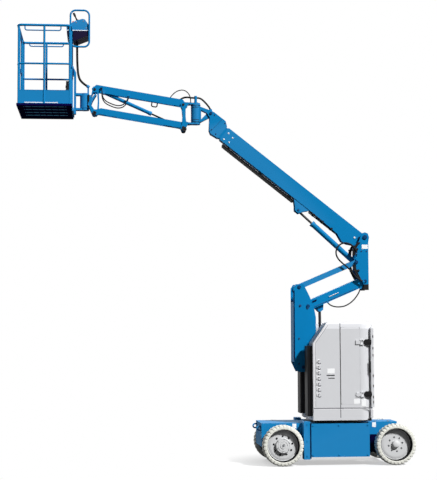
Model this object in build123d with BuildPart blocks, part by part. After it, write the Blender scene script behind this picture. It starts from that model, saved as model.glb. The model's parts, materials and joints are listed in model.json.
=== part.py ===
from build123d import *
from math import cos, pi, radians, sin, tan
import os

# Articulating boom lift: a self-propelled chassis on four solid tyres, a slewing turntable with side
# covers, a double parallelogram riser, a telescoping boom, a rotating jib and a turning platform.
# Frame: +Z up, Z 0 on the ground, X along the machine (the platform is toward -X), Y across it.
# "Near" is the -Y side and "far" the +Y side. All sizes are millimetres and degrees.
# The pieces are drawn from the slew axis, and saved with the whole machine centred on X 0.

os.makedirs("parts", exist_ok=True)

# ---------------------------------------------------------------- driving dimensions
OVERALL_WIDTH = 1190
WHEELBASE = 1560
TYRE_DIAMETER = 560
TYRE_WIDTH = 180
RIM_RADIUS = 205
RIM_WALL = 14
RIM_DISH = 62  # depth of the wheel disc inside the tyre's outer face
DISC_THICKNESS = 14
SPINDLE_RADIUS = 35
STEER_OFFSET = 115  # kingpin to the wheel's middle plane

CHASSIS_REAR_X = 425  # main box, from the slew axis
CHASSIS_FRONT_X = -385
CHASSIS_BOTTOM = 115
CHASSIS_TOP = 571
CHASSIS_HALF_WIDTH = 500
CHASSIS_PLATE = 12
DRIVE_END_X = -1050
DRIVE_END_HALF_WIDTH = 330
DRIVE_END_BOTTOM = 250
STEER_END_X = 870
STEER_END_HALF_WIDTH = 215
STEER_END_BOTTOM = 385

SLEW_RADIUS = 400
SLEW_RING_HEIGHT = 22
TURNTABLE_BOTTOM = 615
TURNTABLE_PLATE = 25
SKIRT_TOP = 780
COVER_GAP = 6
COVER_BOTTOM = SKIRT_TOP + COVER_GAP
COVER_TOP = 1956
COVER_FRONT_X = -358
COVER_REAR_X = 503
COVER_HALF_WIDTH = 530
COVER_INNER = 205  # half width of the slot that the riser folds into
COVER_WALL = 6
COVER_CORNER = 200
COVER_EDGE = 28
COVER_SLANT = (-160, 1669)  # where the slanted front meets the roof (X) and the front (Z)
DOOR_FRONT_X = 22
DOOR_REAR_X = 300
DOOR_BOTTOM = 830
DOOR_TOP = 1890
DOOR_THICKNESS = 18
DOOR_GAP = 6
GUARD_FRONT_X = -425
GUARD_BOTTOM = 670
GUARD_TOP = 1635
GUARD_OUTER = 475

RUNNING = 0.3  # radial gap of a pin or rod in its bore
PIN_RADIUS = 25
PLATE = 12
RISER_HALF_WIDTH = 140  # outside of the tower and knuckle plates
LINK_HALF_WIDTH = 122

LINK_LENGTH = 890
RISER_ANGLE = 23.1
BOOM_ANGLE = 38.2
JIB_ANGLE = 9.2

BOOM_HALF_WIDTH = 75
BOOM_TOP = 33  # top face above the line from the boom's pivot
BOOM_DEPTH = 210
BOOM_WALL = 7
BOOM_FRONT = 2470
BOOM_REACH = 2796  # boom pivot to the levelling pivot at the tip
BOOM_TIP_RISE = 38
EXTENSION_STROKE = 1200

JIB_LENGTH = 1262
JIB_SPACING = 325

BASKET_LENGTH = 750
BASKET_WIDTH = 1170
BASKET_HEIGHT = 1100
RAIL_RADIUS = 18
POST_RADIUS = 16
MID_RAIL_RADIUS = 14


# ---------------------------------------------------------------- where things are
def at(x, z):
    """A point of the middle plane, with x from the slew axis and z from the ground."""
    return Vector(x, 0, z)


def along(point, angle, run, rise=0, facing=1):
    """The point run along a line angle above +X (facing 1) or -X (facing -1), and rise square to it."""
    a = radians(angle)
    level = facing * (run * cos(a) - rise * sin(a))
    return point + Vector(level, 0, run * sin(a) + rise * cos(a))


def side(point, angle=0, facing=1):
    """Side plane at a point: local x runs angle above +X or -X, local y is square to it and upward."""
    a = radians(angle)
    return Plane(origin=point, x_dir=(facing * cos(a), 0, sin(a)), z_dir=(0, -facing, 0))


def outline(*corners):
    """Corners in the middle plane, each given from a pin as (pin, x, z)."""
    return tuple((pin.X + x, pin.Z + z) for pin, x, z in corners)


GROUND = at(0, 0)
TOWER_FOOT = at(-434, 1332)
TOWER_FOOT_B = TOWER_FOOT + Vector(40, 0, 215)
TOWER_HEAD_A = TOWER_FOOT + Vector(76, 0, 857)
TOWER_HEAD_B = TOWER_FOOT + Vector(-45, 0, 1125)
FRAME_PIN_A = along(TOWER_FOOT, -RISER_ANGLE, LINK_LENGTH)
FRAME_PIN_B = along(TOWER_FOOT_B, -RISER_ANGLE, LINK_LENGTH)
KNUCKLE_PIN_A = along(TOWER_HEAD_A, RISER_ANGLE, LINK_LENGTH)
KNUCKLE_PIN_B = along(TOWER_HEAD_B, RISER_ANGLE, LINK_LENGTH)
BOOM_PIN = KNUCKLE_PIN_B + Vector(123, 0, 354)
LIFT_LUG_U = 975  # along the boom from its pivot
LIFT_ROD_PIN = along(BOOM_PIN, BOOM_ANGLE, LIFT_LUG_U, -274, facing=-1)
RISER_BASE_PIN = along(TOWER_FOOT, -RISER_ANGLE, 340, -95)
RISER_ROD_PIN = along(TOWER_HEAD_A, RISER_ANGLE, 155, -112)
LEVEL_PIN = along(BOOM_PIN, BOOM_ANGLE, BOOM_REACH, BOOM_TIP_RISE, facing=-1)
ROTATOR = LEVEL_PIN - Vector(212, 0, 0)  # middle of the vertical axis that the jib turns about
JIB_PIN_LOW = LEVEL_PIN + Vector(-393, 0, -204)
JIB_PIN_HIGH = JIB_PIN_LOW + Vector(0, 0, JIB_SPACING)
HEAD_PIN_LOW = along(JIB_PIN_LOW, JIB_ANGLE, JIB_LENGTH, facing=-1)
HEAD_PIN_HIGH = along(JIB_PIN_HIGH, JIB_ANGLE, JIB_LENGTH, facing=-1)
JIB_BASE_PIN = along(JIB_PIN_HIGH, JIB_ANGLE, JIB_LENGTH - 132, -8, facing=-1)
PLATFORM_AXIS = HEAD_PIN_LOW + Vector(-140, 0, 65)  # foot of the axis that the platform turns about
BASKET = PLATFORM_AXIS + Vector(-170, 0, -32)  # rear edge of the basket, at the level of its deck
FRONT_REACH = BASKET.X - BASKET_LENGTH
REAR_REACH = WHEELBASE / 2 + TYRE_DIAMETER / 2
SLEW_X = -(FRONT_REACH + REAR_REACH) / 2  # X of the slew axis in the saved pieces
DRIVE_AXLE = at(-WHEELBASE / 2, TYRE_DIAMETER / 2)
STEER_AXLE = at(WHEELBASE / 2, TYRE_DIAMETER / 2)
WHEEL_FACE = OVERALL_WIDTH / 2  # outer face of the tyres, either side of the middle
WHEEL_BACK = WHEEL_FACE - TYRE_WIDTH
WHEEL_MIDDLE = WHEEL_FACE - TYRE_WIDTH / 2
DISC_FACE = WHEEL_FACE - RIM_DISH
DISC_BACK = DISC_FACE - DISC_THICKNESS
KINGPIN_Y = WHEEL_MIDDLE - STEER_OFFSET


# ---------------------------------------------------------------- shapes used more than once
def plates(plane, outline, inner, outer, mode=Mode.ADD):
    """A mirror pair of plates with this outline, from inner to outer either side of the plane."""
    for hand in (-1, 1):
        with BuildSketch(plane.offset(hand * inner)) as face:
            with BuildLine():
                Polyline(*outline, close=True)
            make_face()
        extrude(face.sketch, amount=hand * (outer - inner), mode=mode)


def slab(plane, outline, half_width, mode=Mode.ADD):
    """One plate with this outline, half_width either side of the plane."""
    with BuildSketch(plane) as face:
        with BuildLine():
            Polyline(*outline, close=True)
        make_face()
    extrude(face.sketch, amount=half_width, both=True, mode=mode)


def cross(point, radius, half_width, mode=Mode.ADD):
    """A round bar, boss or bore across the machine at a point of the middle plane."""
    with Locations(point):
        Cylinder(radius, 2 * half_width, rotation=(90, 0, 0), mode=mode)


def bosses(point, radius, inner, outer, mode=Mode.ADD):
    """A mirror pair of round bosses or bores across the machine, from inner to outer."""
    for hand in (-1, 1):
        with Locations(point + Vector(0, hand * (inner + outer) / 2, 0)):
            Cylinder(radius, outer - inner, rotation=(90, 0, 0), mode=mode)


def block(x, y, z, origin=GROUND, mode=Mode.ADD):
    """A box between two values of x, of y and of z, all from a point of the middle plane."""
    with Locations(origin + Vector(sum(x) / 2, sum(y) / 2, sum(z) / 2)):
        Box(x[1] - x[0], y[1] - y[0], z[1] - z[0], mode=mode)


def both_sides(x, inner, outer, z, origin=GROUND, mode=Mode.ADD):
    """A mirror pair of boxes, from inner to outer either side of the middle plane."""
    block(x, (inner, outer), z, origin, mode)
    block(x, (-outer, -inner), z, origin, mode)


def tube(start, end, radius, wall=0, mode=Mode.ADD):
    """A straight round tube or bar between two points, bored through where it has a wall."""
    run = end - start
    with BuildSketch(Plane(origin=start, z_dir=run)) as ring:
        Circle(radius)
        if wall:
            Circle(radius - wall, mode=Mode.SUBTRACT)
    extrude(ring.sketch, amount=run.length, mode=mode)


def frame_tube(points, radius):
    """A round tube of straight runs, with a ball at each corner between them."""
    for start, end in zip(points, points[1:]):
        tube(start, end, radius)
    for corner in points[1:-1]:
        with Locations(corner):
            Sphere(radius + 1)


def save(builder, label):
    """Label a finished piece, place it with the machine centred, and write it as its own STEP file."""
    piece = builder.part.moved(Location((SLEW_X, 0, 0)))
    piece.label = label
    export_step(piece, f"parts/{label}.step")


def save_pair(builder, label):
    """Write a piece of the near side, and its mirror image for the far side."""
    save(builder, label + "_near")
    with BuildPart() as far:
        add(builder.part)
        mirror(about=Plane.XZ, mode=Mode.REPLACE)
    save(far, label + "_far")


# ---------------------------------------------------------------- hoses
BOSS_GAP = 14  # radius of the small bosses that hoses end on


def toward(start, end, distance):
    """The point this distance from start on the way to end."""
    return start + (end - start).normalized() * distance


def route(y, origin, *steps):
    """Points of a hose in one plane across the machine, each given from a pin as (x, z)."""
    return [origin + Vector(x, y, z) for x, z in steps]


# points of each hose from end to end: (name, radius, points)
JIB_HOSE_Y = 100
JIB_HOSE_STEPS = (
    (98, 34), (98, -45), (112, -115), (150, -167), (222, -203), (315, -236), (400, -222), (457, -159), (474, -85),
)
RISER_HOSE_Y = -100
KNUCKLE_HOSE_Y = -164
PLATFORM_HOSE = route(
    0, BASKET, (60, 954.7), (60, 810), (64, 650), (77, 490), (122, 402), (198, 354.5),
)
JIB_HOSE_NEAR = route(-JIB_HOSE_Y, HEAD_PIN_HIGH, *JIB_HOSE_STEPS)
JIB_HOSE_FAR = route(JIB_HOSE_Y, HEAD_PIN_HIGH, *JIB_HOSE_STEPS)
SWIVEL_RADIUS = 20
TIP_HOSE = route(
    0, ROTATOR, (SWIVEL_RADIUS + RUNNING, 231), (61, 231), (108, 196), (155, 147), (193, 99), (217, 53),
)
SWIVEL_HOSE = route(
    0, ROTATOR, (-SWIVEL_RADIUS - RUNNING, 231), (-62, 231), (-117, 241), (-172, 233), (-222, 203), (-263, 165),
)
ARCH_HOSE = route(
    -25,
    ROTATOR,
    (-72, 153.6), (-72, 210), (-88, 268), (-124, 313), (-172, 339), (-232, 335), (-292, 306), (-339, 259), (-375, 214),
)
KNUCKLE_HOSE = route(
    KNUCKLE_HOSE_Y,
    BOOM_PIN,
    (-111, -235), (-145, -160), (-201, -105), (-278, -78), (-358, -98), (-411, -160), (-423, -240),
    (-388, -315), (-323, -375), (-258, -425), (-198, -490), (-143, -560), (-90, -602), (-31, -630),
)
RISER_HOSE = route(
    RISER_HOSE_Y,
    TOWER_HEAD_A,
    (288, 52), (297, 36), (331, 7), (388, -11), (453, -15), (523, -5), (592, 28), (655, 78), (706, 140),
    (738, 195), (758, 250),
)


def trimmed(points, first, last):
    """A hose's points with its ends drawn back from what it ends on, by first and last."""
    return [toward(points[0], points[1], first), *points[1:-1], toward(points[-1], points[-2], last)]


def hose(name, radius, points):
    """A hose of straight runs joined by the largest arcs that their lengths allow."""
    bends = []
    for before, corner, after in zip(points, points[1:], points[2:]):
        shorter = min((corner - before).length, (after - corner).length)
        half_turn = radians((corner - before).get_angle(after - corner)) / 2
        bends.append(0.45 * shorter / tan(half_turn))
    with BuildLine() as middle:
        FilletPolyline(*points, radius=bends)
    with BuildPart() as cord:
        with BuildSketch(Plane(origin=middle.line @ 0, z_dir=middle.line % 0)) as ring:
            Circle(radius)
        sweep(path=middle.line)
    turns = [round(bend) for bend in bends]
    length = cord.part.volume / (pi * radius**2)
    print(name, "length", round(length), "diameter", 2 * radius, "arcs", turns)
    save(cord, name)


# ---------------------------------------------------------------- wheels
TYRE_SHOULDER = 16
TYRE_RADIUS = TYRE_DIAMETER / 2
HUB_RADIUS = 70
HUB_DEPTH = 50  # hub behind the disc

# axle, name, radius and length of the hub's cover, radius and length of the boss on it
WHEELS = (
    (DRIVE_AXLE, "drive", 106, 26, 34, 14),
    (STEER_AXLE, "steer", 62, 14, 48, 14),
)

for axle, kind, cover_radius, cover_length, boss_radius, boss_length in WHEELS:
    # profile planes: local x is the radius, local y the distance from the middle plane
    near_face = Plane(origin=axle, x_dir=(0, 0, 1), z_dir=(1, 0, 0))
    with BuildPart() as tyre:
        with BuildSketch(near_face):
            with BuildLine():
                Polyline(
                    (RIM_RADIUS, WHEEL_BACK),
                    (TYRE_RADIUS - TYRE_SHOULDER, WHEEL_BACK),
                    (TYRE_RADIUS, WHEEL_BACK + TYRE_SHOULDER),
                    (TYRE_RADIUS, WHEEL_FACE - TYRE_SHOULDER),
                    (TYRE_RADIUS - TYRE_SHOULDER, WHEEL_FACE),
                    (RIM_RADIUS, WHEEL_FACE),
                    close=True,
                )
            make_face()
        revolve(axis=Axis(axle, (0, 1, 0)))
    with BuildPart() as rim:
        with BuildSketch(near_face):
            with BuildLine():
                Polyline(
                    (SPINDLE_RADIUS + RUNNING, DISC_BACK - HUB_DEPTH),
                    (HUB_RADIUS, DISC_BACK - HUB_DEPTH),
                    (HUB_RADIUS, DISC_BACK),
                    (RIM_RADIUS - RIM_WALL, DISC_BACK),
                    (RIM_RADIUS - RIM_WALL, WHEEL_BACK + RIM_WALL),
                    (RIM_RADIUS, WHEEL_BACK + RIM_WALL),
                    (RIM_RADIUS, WHEEL_FACE - RIM_WALL / 2),
                    (RIM_RADIUS - RIM_WALL, WHEEL_FACE - RIM_WALL / 2),
                    (RIM_RADIUS - RIM_WALL, DISC_FACE),
                    (cover_radius, DISC_FACE),
                    (cover_radius, DISC_FACE + cover_length),
                    (boss_radius, DISC_FACE + cover_length),
                    (boss_radius, DISC_FACE + cover_length + boss_length),
                    (0, DISC_FACE + cover_length + boss_length),
                    (0, DISC_BACK + RUNNING),
                    (SPINDLE_RADIUS + RUNNING, DISC_BACK + RUNNING),
                    close=True,
                )
            make_face()
        revolve(axis=Axis(axle, (0, 1, 0)))
    for hand, name in ((1, "far"), (-1, "near")):
        for piece, word in ((tyre, "tyre"), (rim, "rim")):
            with BuildPart() as placed:
                add(piece.part)
                if hand > 0:
                    mirror(about=Plane.XZ, mode=Mode.REPLACE)
            save(placed, f"{word}_{kind}_{name}")

# ---------------------------------------------------------------- chassis
POST_X = (-485, -399)  # upright posts at the drive end of the main box
POST_BOTTOM = 84
POST_TOP = 600
DRIVE_HUB_RADIUS = 84
TIE_DOWN_RADIUS = 18
TIE_DOWN_Z = 500
LUG_RADIUS = 38
LUG_THICKNESS = 16
DRIVE_LUG = at(DRIVE_END_X - 2 * CHASSIS_PLATE, TIE_DOWN_Z)
DRIVE_LUG_Y = 240
STEER_LUG = at(STEER_END_X - LUG_THICKNESS / 2, TIE_DOWN_Z)
STEER_LUG_Y = STEER_END_HALF_WIDTH + LUG_RADIUS
KINGPIN_RADIUS = 22
KNUCKLE_HALF_HEIGHT = 62
AXLE_EAR = 26
AXLE_EAR_RADIUS = 34
AXLE_HALF_LENGTH = 55

with BuildPart() as chassis_frame:
    block((CHASSIS_FRONT_X, CHASSIS_REAR_X), (-CHASSIS_HALF_WIDTH, CHASSIS_HALF_WIDTH), (CHASSIS_BOTTOM, CHASSIS_TOP))
    block(
        (CHASSIS_FRONT_X + CHASSIS_PLATE, CHASSIS_REAR_X - CHASSIS_PLATE),
        (-CHASSIS_HALF_WIDTH + CHASSIS_PLATE, CHASSIS_HALF_WIDTH - CHASSIS_PLATE),
        (CHASSIS_BOTTOM, CHASSIS_TOP - CHASSIS_PLATE),
        mode=Mode.SUBTRACT,
    )
    block((DRIVE_END_X, CHASSIS_FRONT_X), (-DRIVE_END_HALF_WIDTH, DRIVE_END_HALF_WIDTH), (DRIVE_END_BOTTOM, CHASSIS_TOP))
    block(
        (DRIVE_END_X + CHASSIS_PLATE, CHASSIS_FRONT_X),
        (-DRIVE_END_HALF_WIDTH + CHASSIS_PLATE, DRIVE_END_HALF_WIDTH - CHASSIS_PLATE),
        (DRIVE_END_BOTTOM, CHASSIS_TOP - CHASSIS_PLATE),
        mode=Mode.SUBTRACT,
    )
    block((CHASSIS_REAR_X, STEER_END_X), (-STEER_END_HALF_WIDTH, STEER_END_HALF_WIDTH), (STEER_END_BOTTOM, CHASSIS_TOP))
    block(
        (CHASSIS_REAR_X, STEER_END_X - CHASSIS_PLATE),
        (-STEER_END_HALF_WIDTH + CHASSIS_PLATE, STEER_END_HALF_WIDTH - CHASSIS_PLATE),
        (STEER_END_BOTTOM, CHASSIS_TOP - CHASSIS_PLATE),
        mode=Mode.SUBTRACT,
    )
    both_sides(POST_X, DRIVE_END_HALF_WIDTH, CHASSIS_HALF_WIDTH, (POST_BOTTOM, POST_TOP))
    block(
        (POST_X[1], CHASSIS_FRONT_X),
        (-CHASSIS_HALF_WIDTH, CHASSIS_HALF_WIDTH),
        (DRIVE_END_BOTTOM, CHASSIS_TOP - CHASSIS_PLATE),
    )
    # tie-down lugs: upright across the machine at the drive end, beside the frame at the steered end
    lug = DRIVE_LUG_Y - LUG_THICKNESS / 2, DRIVE_LUG_Y + LUG_THICKNESS / 2
    both_sides((0, 4 * CHASSIS_PLATE), *lug, (-LUG_RADIUS, LUG_RADIUS), DRIVE_LUG)
    bosses(DRIVE_LUG, LUG_RADIUS, *lug)
    bosses(DRIVE_LUG, TIE_DOWN_RADIUS, *lug, mode=Mode.SUBTRACT)
    half = LUG_THICKNESS / 2
    both_sides((-half, half), STEER_END_HALF_WIDTH - half, STEER_LUG_Y, (-LUG_RADIUS, LUG_RADIUS), STEER_LUG)
    for y in (-STEER_LUG_Y, STEER_LUG_Y):
        with Locations(STEER_LUG + Vector(0, y, 0)):
            Cylinder(LUG_RADIUS, LUG_THICKNESS, rotation=(0, 90, 0))
            Cylinder(TIE_DOWN_RADIUS, LUG_THICKNESS, rotation=(0, 90, 0), mode=Mode.SUBTRACT)
save(chassis_frame, "chassis_frame")

with BuildPart() as slew_ring:
    with Locations(at(0, CHASSIS_TOP + SLEW_RING_HEIGHT / 2)):
        Cylinder(SLEW_RADIUS, SLEW_RING_HEIGHT)
        Cylinder(SLEW_RADIUS / 2, SLEW_RING_HEIGHT, mode=Mode.SUBTRACT)
save(slew_ring, "slew_ring")

with BuildPart() as drive_hubs:
    bosses(DRIVE_AXLE, DRIVE_HUB_RADIUS, DRIVE_END_HALF_WIDTH, DISC_BACK - HUB_DEPTH - 5)
    bosses(DRIVE_AXLE, SPINDLE_RADIUS, DISC_BACK - HUB_DEPTH - 5, DISC_BACK - 3)
save(drive_hubs, "drive_hubs")

# the steering axle: a beam, and at each end a fork whose ears hold the kingpin
EAR_Z = KNUCKLE_HALF_HEIGHT + 2  # inner faces of the ears, above and below the axle line
ARM_REACH = 125
ARM_THICKNESS = 14
ARM_HALF_WIDTH = 18
TIE_GAP = 1
TIE_ROD_RADIUS = 14
CYLINDER_RADIUS = 34
CYLINDER_HALF_LENGTH = 180
TIE_LINE = STEER_AXLE - Vector(ARM_REACH, 0, KNUCKLE_HALF_HEIGHT + TIE_GAP + ARM_THICKNESS / 2)
with BuildPart() as steer_axle:
    with Locations(STEER_AXLE):
        Box(2 * AXLE_HALF_LENGTH, 2 * (KINGPIN_Y - 70), 2 * (EAR_Z + AXLE_EAR))
    for hand in (-1, 1):
        for level in (-1, 1):
            ear = STEER_AXLE + Vector(0, hand * KINGPIN_Y, level * (EAR_Z + AXLE_EAR / 2))
            with Locations(ear):
                Cylinder(AXLE_EAR_RADIUS, AXLE_EAR)
            with Locations(ear - Vector(0, hand * 40, 0)):
                Box(2 * AXLE_EAR_RADIUS, 80, AXLE_EAR)
        with Locations(STEER_AXLE + Vector(0, hand * KINGPIN_Y, 0)):
            Cylinder(KINGPIN_RADIUS, 2 * EAR_Z)
    block(
        (-AXLE_HALF_LENGTH, AXLE_HALF_LENGTH),
        (-STEER_END_HALF_WIDTH, STEER_END_HALF_WIDTH),
        (0, STEER_END_BOTTOM - RUNNING - STEER_AXLE.Z),
        STEER_AXLE,
    )
    # the steering cylinder stands on a bracket before the beam, and the tie bar is its rod
    cross(TIE_LINE, CYLINDER_RADIUS, CYLINDER_HALF_LENGTH)
    block((-20, ARM_REACH - AXLE_HALF_LENGTH), (-60, 60), (-20, 20), TIE_LINE)
    cross(TIE_LINE, TIE_ROD_RADIUS + RUNNING, CYLINDER_HALF_LENGTH, mode=Mode.SUBTRACT)
save(steer_axle, "steer_axle")

with BuildPart() as knuckle_near:
    king = STEER_AXLE - Vector(0, KINGPIN_Y, 0)
    with Locations(king):
        Cylinder(KINGPIN_RADIUS + 14, 2 * KNUCKLE_HALF_HEIGHT)
    tube(king, king - Vector(0, DISC_BACK - 3 - KINGPIN_Y, 0), SPINDLE_RADIUS)
    arm_z = -KNUCKLE_HALF_HEIGHT + ARM_THICKNESS / 2
    with Locations(king + Vector(-ARM_REACH / 2, 0, arm_z)):
        Box(ARM_REACH, 2 * ARM_HALF_WIDTH, ARM_THICKNESS)
    with Locations(king + Vector(-ARM_REACH, 0, arm_z)):
        Cylinder(ARM_HALF_WIDTH, ARM_THICKNESS)
    with Locations(king):
        Cylinder(KINGPIN_RADIUS + RUNNING, 2 * KNUCKLE_HALF_HEIGHT, mode=Mode.SUBTRACT)
save_pair(knuckle_near, "steer_knuckle")

# the tie bar lies under both steering arms and slides across through the steering cylinder
with BuildPart() as tie_bar:
    for hand in (-1, 1):
        with Locations(TIE_LINE + Vector(0, hand * KINGPIN_Y, 0)):
            Cylinder(ARM_HALF_WIDTH, ARM_THICKNESS)
    cross(TIE_LINE, ARM_THICKNESS / 2 - 1, KINGPIN_Y)
    cross(TIE_LINE, TIE_ROD_RADIUS, CYLINDER_HALF_LENGTH + 110)
save(tie_bar, "tie_bar")



# ---------------------------------------------------------------- turntable
def cover_plan(inner, outer, front, rear, corner, level):
    """Plan outline of one side of the turntable, with its rounded rear corner, at a height."""
    with BuildSketch(Plane.XY.offset(level)) as plan:
        with BuildLine():
            Polyline(
                (rear, -outer + corner),
                (rear, -inner),
                (front, -inner),
                (front, -outer),
                (rear - corner, -outer),
            )
            RadiusArc((rear - corner, -outer), (rear, -outer + corner), -corner)
        make_face()
    return plan.sketch


with BuildPart() as turntable_base:
    with BuildSketch(Plane.XY.offset(TURNTABLE_BOTTOM)) as plan:
        add(cover_plan(0, COVER_HALF_WIDTH, COVER_FRONT_X, COVER_REAR_X, COVER_CORNER, 0))
        mirror(about=Plane.XZ)
    extrude(amount=SKIRT_TOP - TURNTABLE_BOTTOM)
    with BuildSketch(Plane.XY.offset(TURNTABLE_BOTTOM + TURNTABLE_PLATE)):
        add(
            cover_plan(
                0,
                COVER_HALF_WIDTH - PLATE,
                COVER_FRONT_X + PLATE,
                COVER_REAR_X - PLATE,
                COVER_CORNER - PLATE,
                0,
            )
        )
        mirror(about=Plane.XZ)
    extrude(amount=SKIRT_TOP - TURNTABLE_BOTTOM, mode=Mode.SUBTRACT)
    block(
        (COVER_FRONT_X, COVER_FRONT_X + PLATE),
        (-COVER_INNER, COVER_INNER),
        (TURNTABLE_BOTTOM + TURNTABLE_PLATE, SKIRT_TOP),
        mode=Mode.SUBTRACT,
    )
    with Locations(at(0, (CHASSIS_TOP + SLEW_RING_HEIGHT + RUNNING + TURNTABLE_BOTTOM) / 2)):
        Cylinder(SLEW_RADIUS - 25, TURNTABLE_BOTTOM - CHASSIS_TOP - SLEW_RING_HEIGHT - RUNNING)
save(turntable_base, "turntable_base")

HINGE_X = DOOR_REAR_X + 8
HINGE_Y = COVER_HALF_WIDTH + 10
HINGE_RADIUS = 9
HINGE_HALF = 26
HINGE_PLATE = 10
HINGE_LEAF = 70
HINGE_LEVELS = (965, 1680)

# side covers: hollow, open below, with a doorway in the outer wall
ROOF_X, BREAK_Z = COVER_SLANT
with BuildPart() as cover:
    extrude(
        cover_plan(COVER_INNER, COVER_HALF_WIDTH, COVER_FRONT_X, COVER_REAR_X, COVER_CORNER, COVER_BOTTOM),
        amount=COVER_TOP - COVER_BOTTOM,
    )
    slab(
        side(GROUND),
        (
            (COVER_FRONT_X, BREAK_Z),
            (ROOF_X, COVER_TOP),
            (ROOF_X, COVER_TOP + 50),
            (COVER_FRONT_X - 50, COVER_TOP + 50),
            (COVER_FRONT_X - 50, BREAK_Z),
        ),
        COVER_HALF_WIDTH + 10,
        mode=Mode.SUBTRACT,
    )
    roof = cover.faces().sort_by(Axis.Z)[-1]
    fillet(roof.edges(), radius=COVER_EDGE)
    offset(amount=-COVER_WALL, openings=cover.faces().sort_by(Axis.Z)[0])
    block(
        (DOOR_FRONT_X, DOOR_REAR_X),
        (-COVER_HALF_WIDTH - 10, -COVER_HALF_WIDTH + 2 * COVER_WALL),
        (DOOR_BOTTOM, DOOR_TOP),
        mode=Mode.SUBTRACT,
    )
    for z in HINGE_LEVELS:
        for hand in (-1, 1):
            level = z + hand * (HINGE_HALF + RUNNING + HINGE_PLATE / 2)
            block(
                (HINGE_X - HINGE_RADIUS, HINGE_X + 40),
                (-HINGE_Y - HINGE_RADIUS, -COVER_HALF_WIDTH + COVER_WALL / 2),
                (level - HINGE_PLATE / 2, level + HINGE_PLATE / 2),
            )
save_pair(cover, "side_cover")

with BuildPart() as door:
    block(
        (DOOR_FRONT_X + DOOR_GAP, DOOR_REAR_X - DOOR_GAP),
        (-COVER_HALF_WIDTH, -COVER_HALF_WIDTH + DOOR_THICKNESS),
        (DOOR_BOTTOM + DOOR_GAP, DOOR_TOP - DOOR_GAP),
    )
    fillet(door.edges().filter_by(Axis.Y), radius=18)
    for z in HINGE_LEVELS:
        with Locations(at(HINGE_X, z) - Vector(0, HINGE_Y, 0)):
            Cylinder(HINGE_RADIUS, 2 * HINGE_HALF)
        leaf = z - HINGE_HALF, z + HINGE_HALF
        block((HINGE_X - HINGE_LEAF, HINGE_X), (-HINGE_Y - 3, -HINGE_Y + 3), leaf)
        block((HINGE_X - HINGE_LEAF, DOOR_REAR_X - 2 * DOOR_GAP), (-HINGE_Y - 3, -COVER_HALF_WIDTH + 1), leaf)
save_pair(door, "cover_door")

with BuildPart() as front_guards:
    guard_x = GUARD_FRONT_X, COVER_FRONT_X - RUNNING
    both_sides(guard_x, COVER_INNER, GUARD_OUTER, (GUARD_BOTTOM, GUARD_TOP))
    fillet(front_guards.edges().filter_by(Axis.Z).group_by(Axis.X)[0], radius=20)
    both_sides(
        (GUARD_FRONT_X + COVER_WALL, COVER_FRONT_X),
        COVER_INNER + COVER_WALL,
        GUARD_OUTER - COVER_WALL,
        (GUARD_BOTTOM + COVER_WALL, GUARD_TOP - COVER_WALL),
        mode=Mode.SUBTRACT,
    )
save(front_guards, "front_guards")

WEIGHT_BOTTOM = TURNTABLE_BOTTOM + TURNTABLE_PLATE
WEIGHT_TOP = 1500
WEIGHT_FRONT_X = 210
WEIGHT_REAR_X = COVER_REAR_X - 33
WEIGHT_CORNER_X = COVER_REAR_X - COVER_CORNER
with BuildPart() as counterweight:
    weight_z = WEIGHT_BOTTOM, WEIGHT_TOP
    both_sides((WEIGHT_FRONT_X, WEIGHT_CORNER_X), COVER_INNER + 15, COVER_HALF_WIDTH - 30, weight_z)
    both_sides((WEIGHT_CORNER_X, WEIGHT_REAR_X), COVER_INNER + 15, COVER_HALF_WIDTH - 130, weight_z)
    block(
        (WEIGHT_FRONT_X, WEIGHT_REAR_X),
        (4 - LINK_HALF_WIDTH, LINK_HALF_WIDTH - 4),
        (WEIGHT_BOTTOM, SKIRT_TOP),
    )
save(counterweight, "counterweight")

BATTERY_TOP = 1100
with BuildPart() as battery_packs:
    both_sides((-320, WEIGHT_FRONT_X - 20), COVER_INNER + 20, COVER_HALF_WIDTH - 30, (WEIGHT_BOTTOM, BATTERY_TOP))
save(battery_packs, "battery_packs")

FRAME_INNER = LINK_HALF_WIDTH + 4
FRAME_OUTER = FRAME_INNER + 18
with BuildPart() as riser_frame:
    plates(
        side(GROUND),
        (
            (FRAME_PIN_A.X - 235, WEIGHT_BOTTOM),
            (FRAME_PIN_B.X + 60, WEIGHT_BOTTOM),
            *outline(
                (FRAME_PIN_B, 60, 27), (FRAME_PIN_B, 30, 45), (FRAME_PIN_B, -30, 45),
                (FRAME_PIN_A, -40, 57), (FRAME_PIN_A, -235, -223),
            ),
        ),
        FRAME_INNER,
        FRAME_OUTER,
    )
    for pin in (FRAME_PIN_A, FRAME_PIN_B):
        cross(pin, PIN_RADIUS, FRAME_OUTER)
        bosses(pin, 2 * PIN_RADIUS - 6, FRAME_OUTER, FRAME_OUTER + 10)
save(riser_frame, "riser_frame")

# ---------------------------------------------------------------- riser
LOWER_BAR_INNER = 64
LOWER_BAR_OUTER = 112
BASE_PIN_RADIUS = 20


def bars(start, angle, depth, inner, outer):
    """A pair of bars between two pins."""
    half = depth / 2
    plates(side(start, angle), ((0, -half), (LINK_LENGTH, -half), (LINK_LENGTH, half), (0, half)), inner, outer)


def bore(pins, radius=PIN_RADIUS):
    """Running bores for pins across the machine."""
    for pin in pins:
        cross(pin, radius + RUNNING, RISER_HALF_WIDTH, mode=Mode.SUBTRACT)


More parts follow.
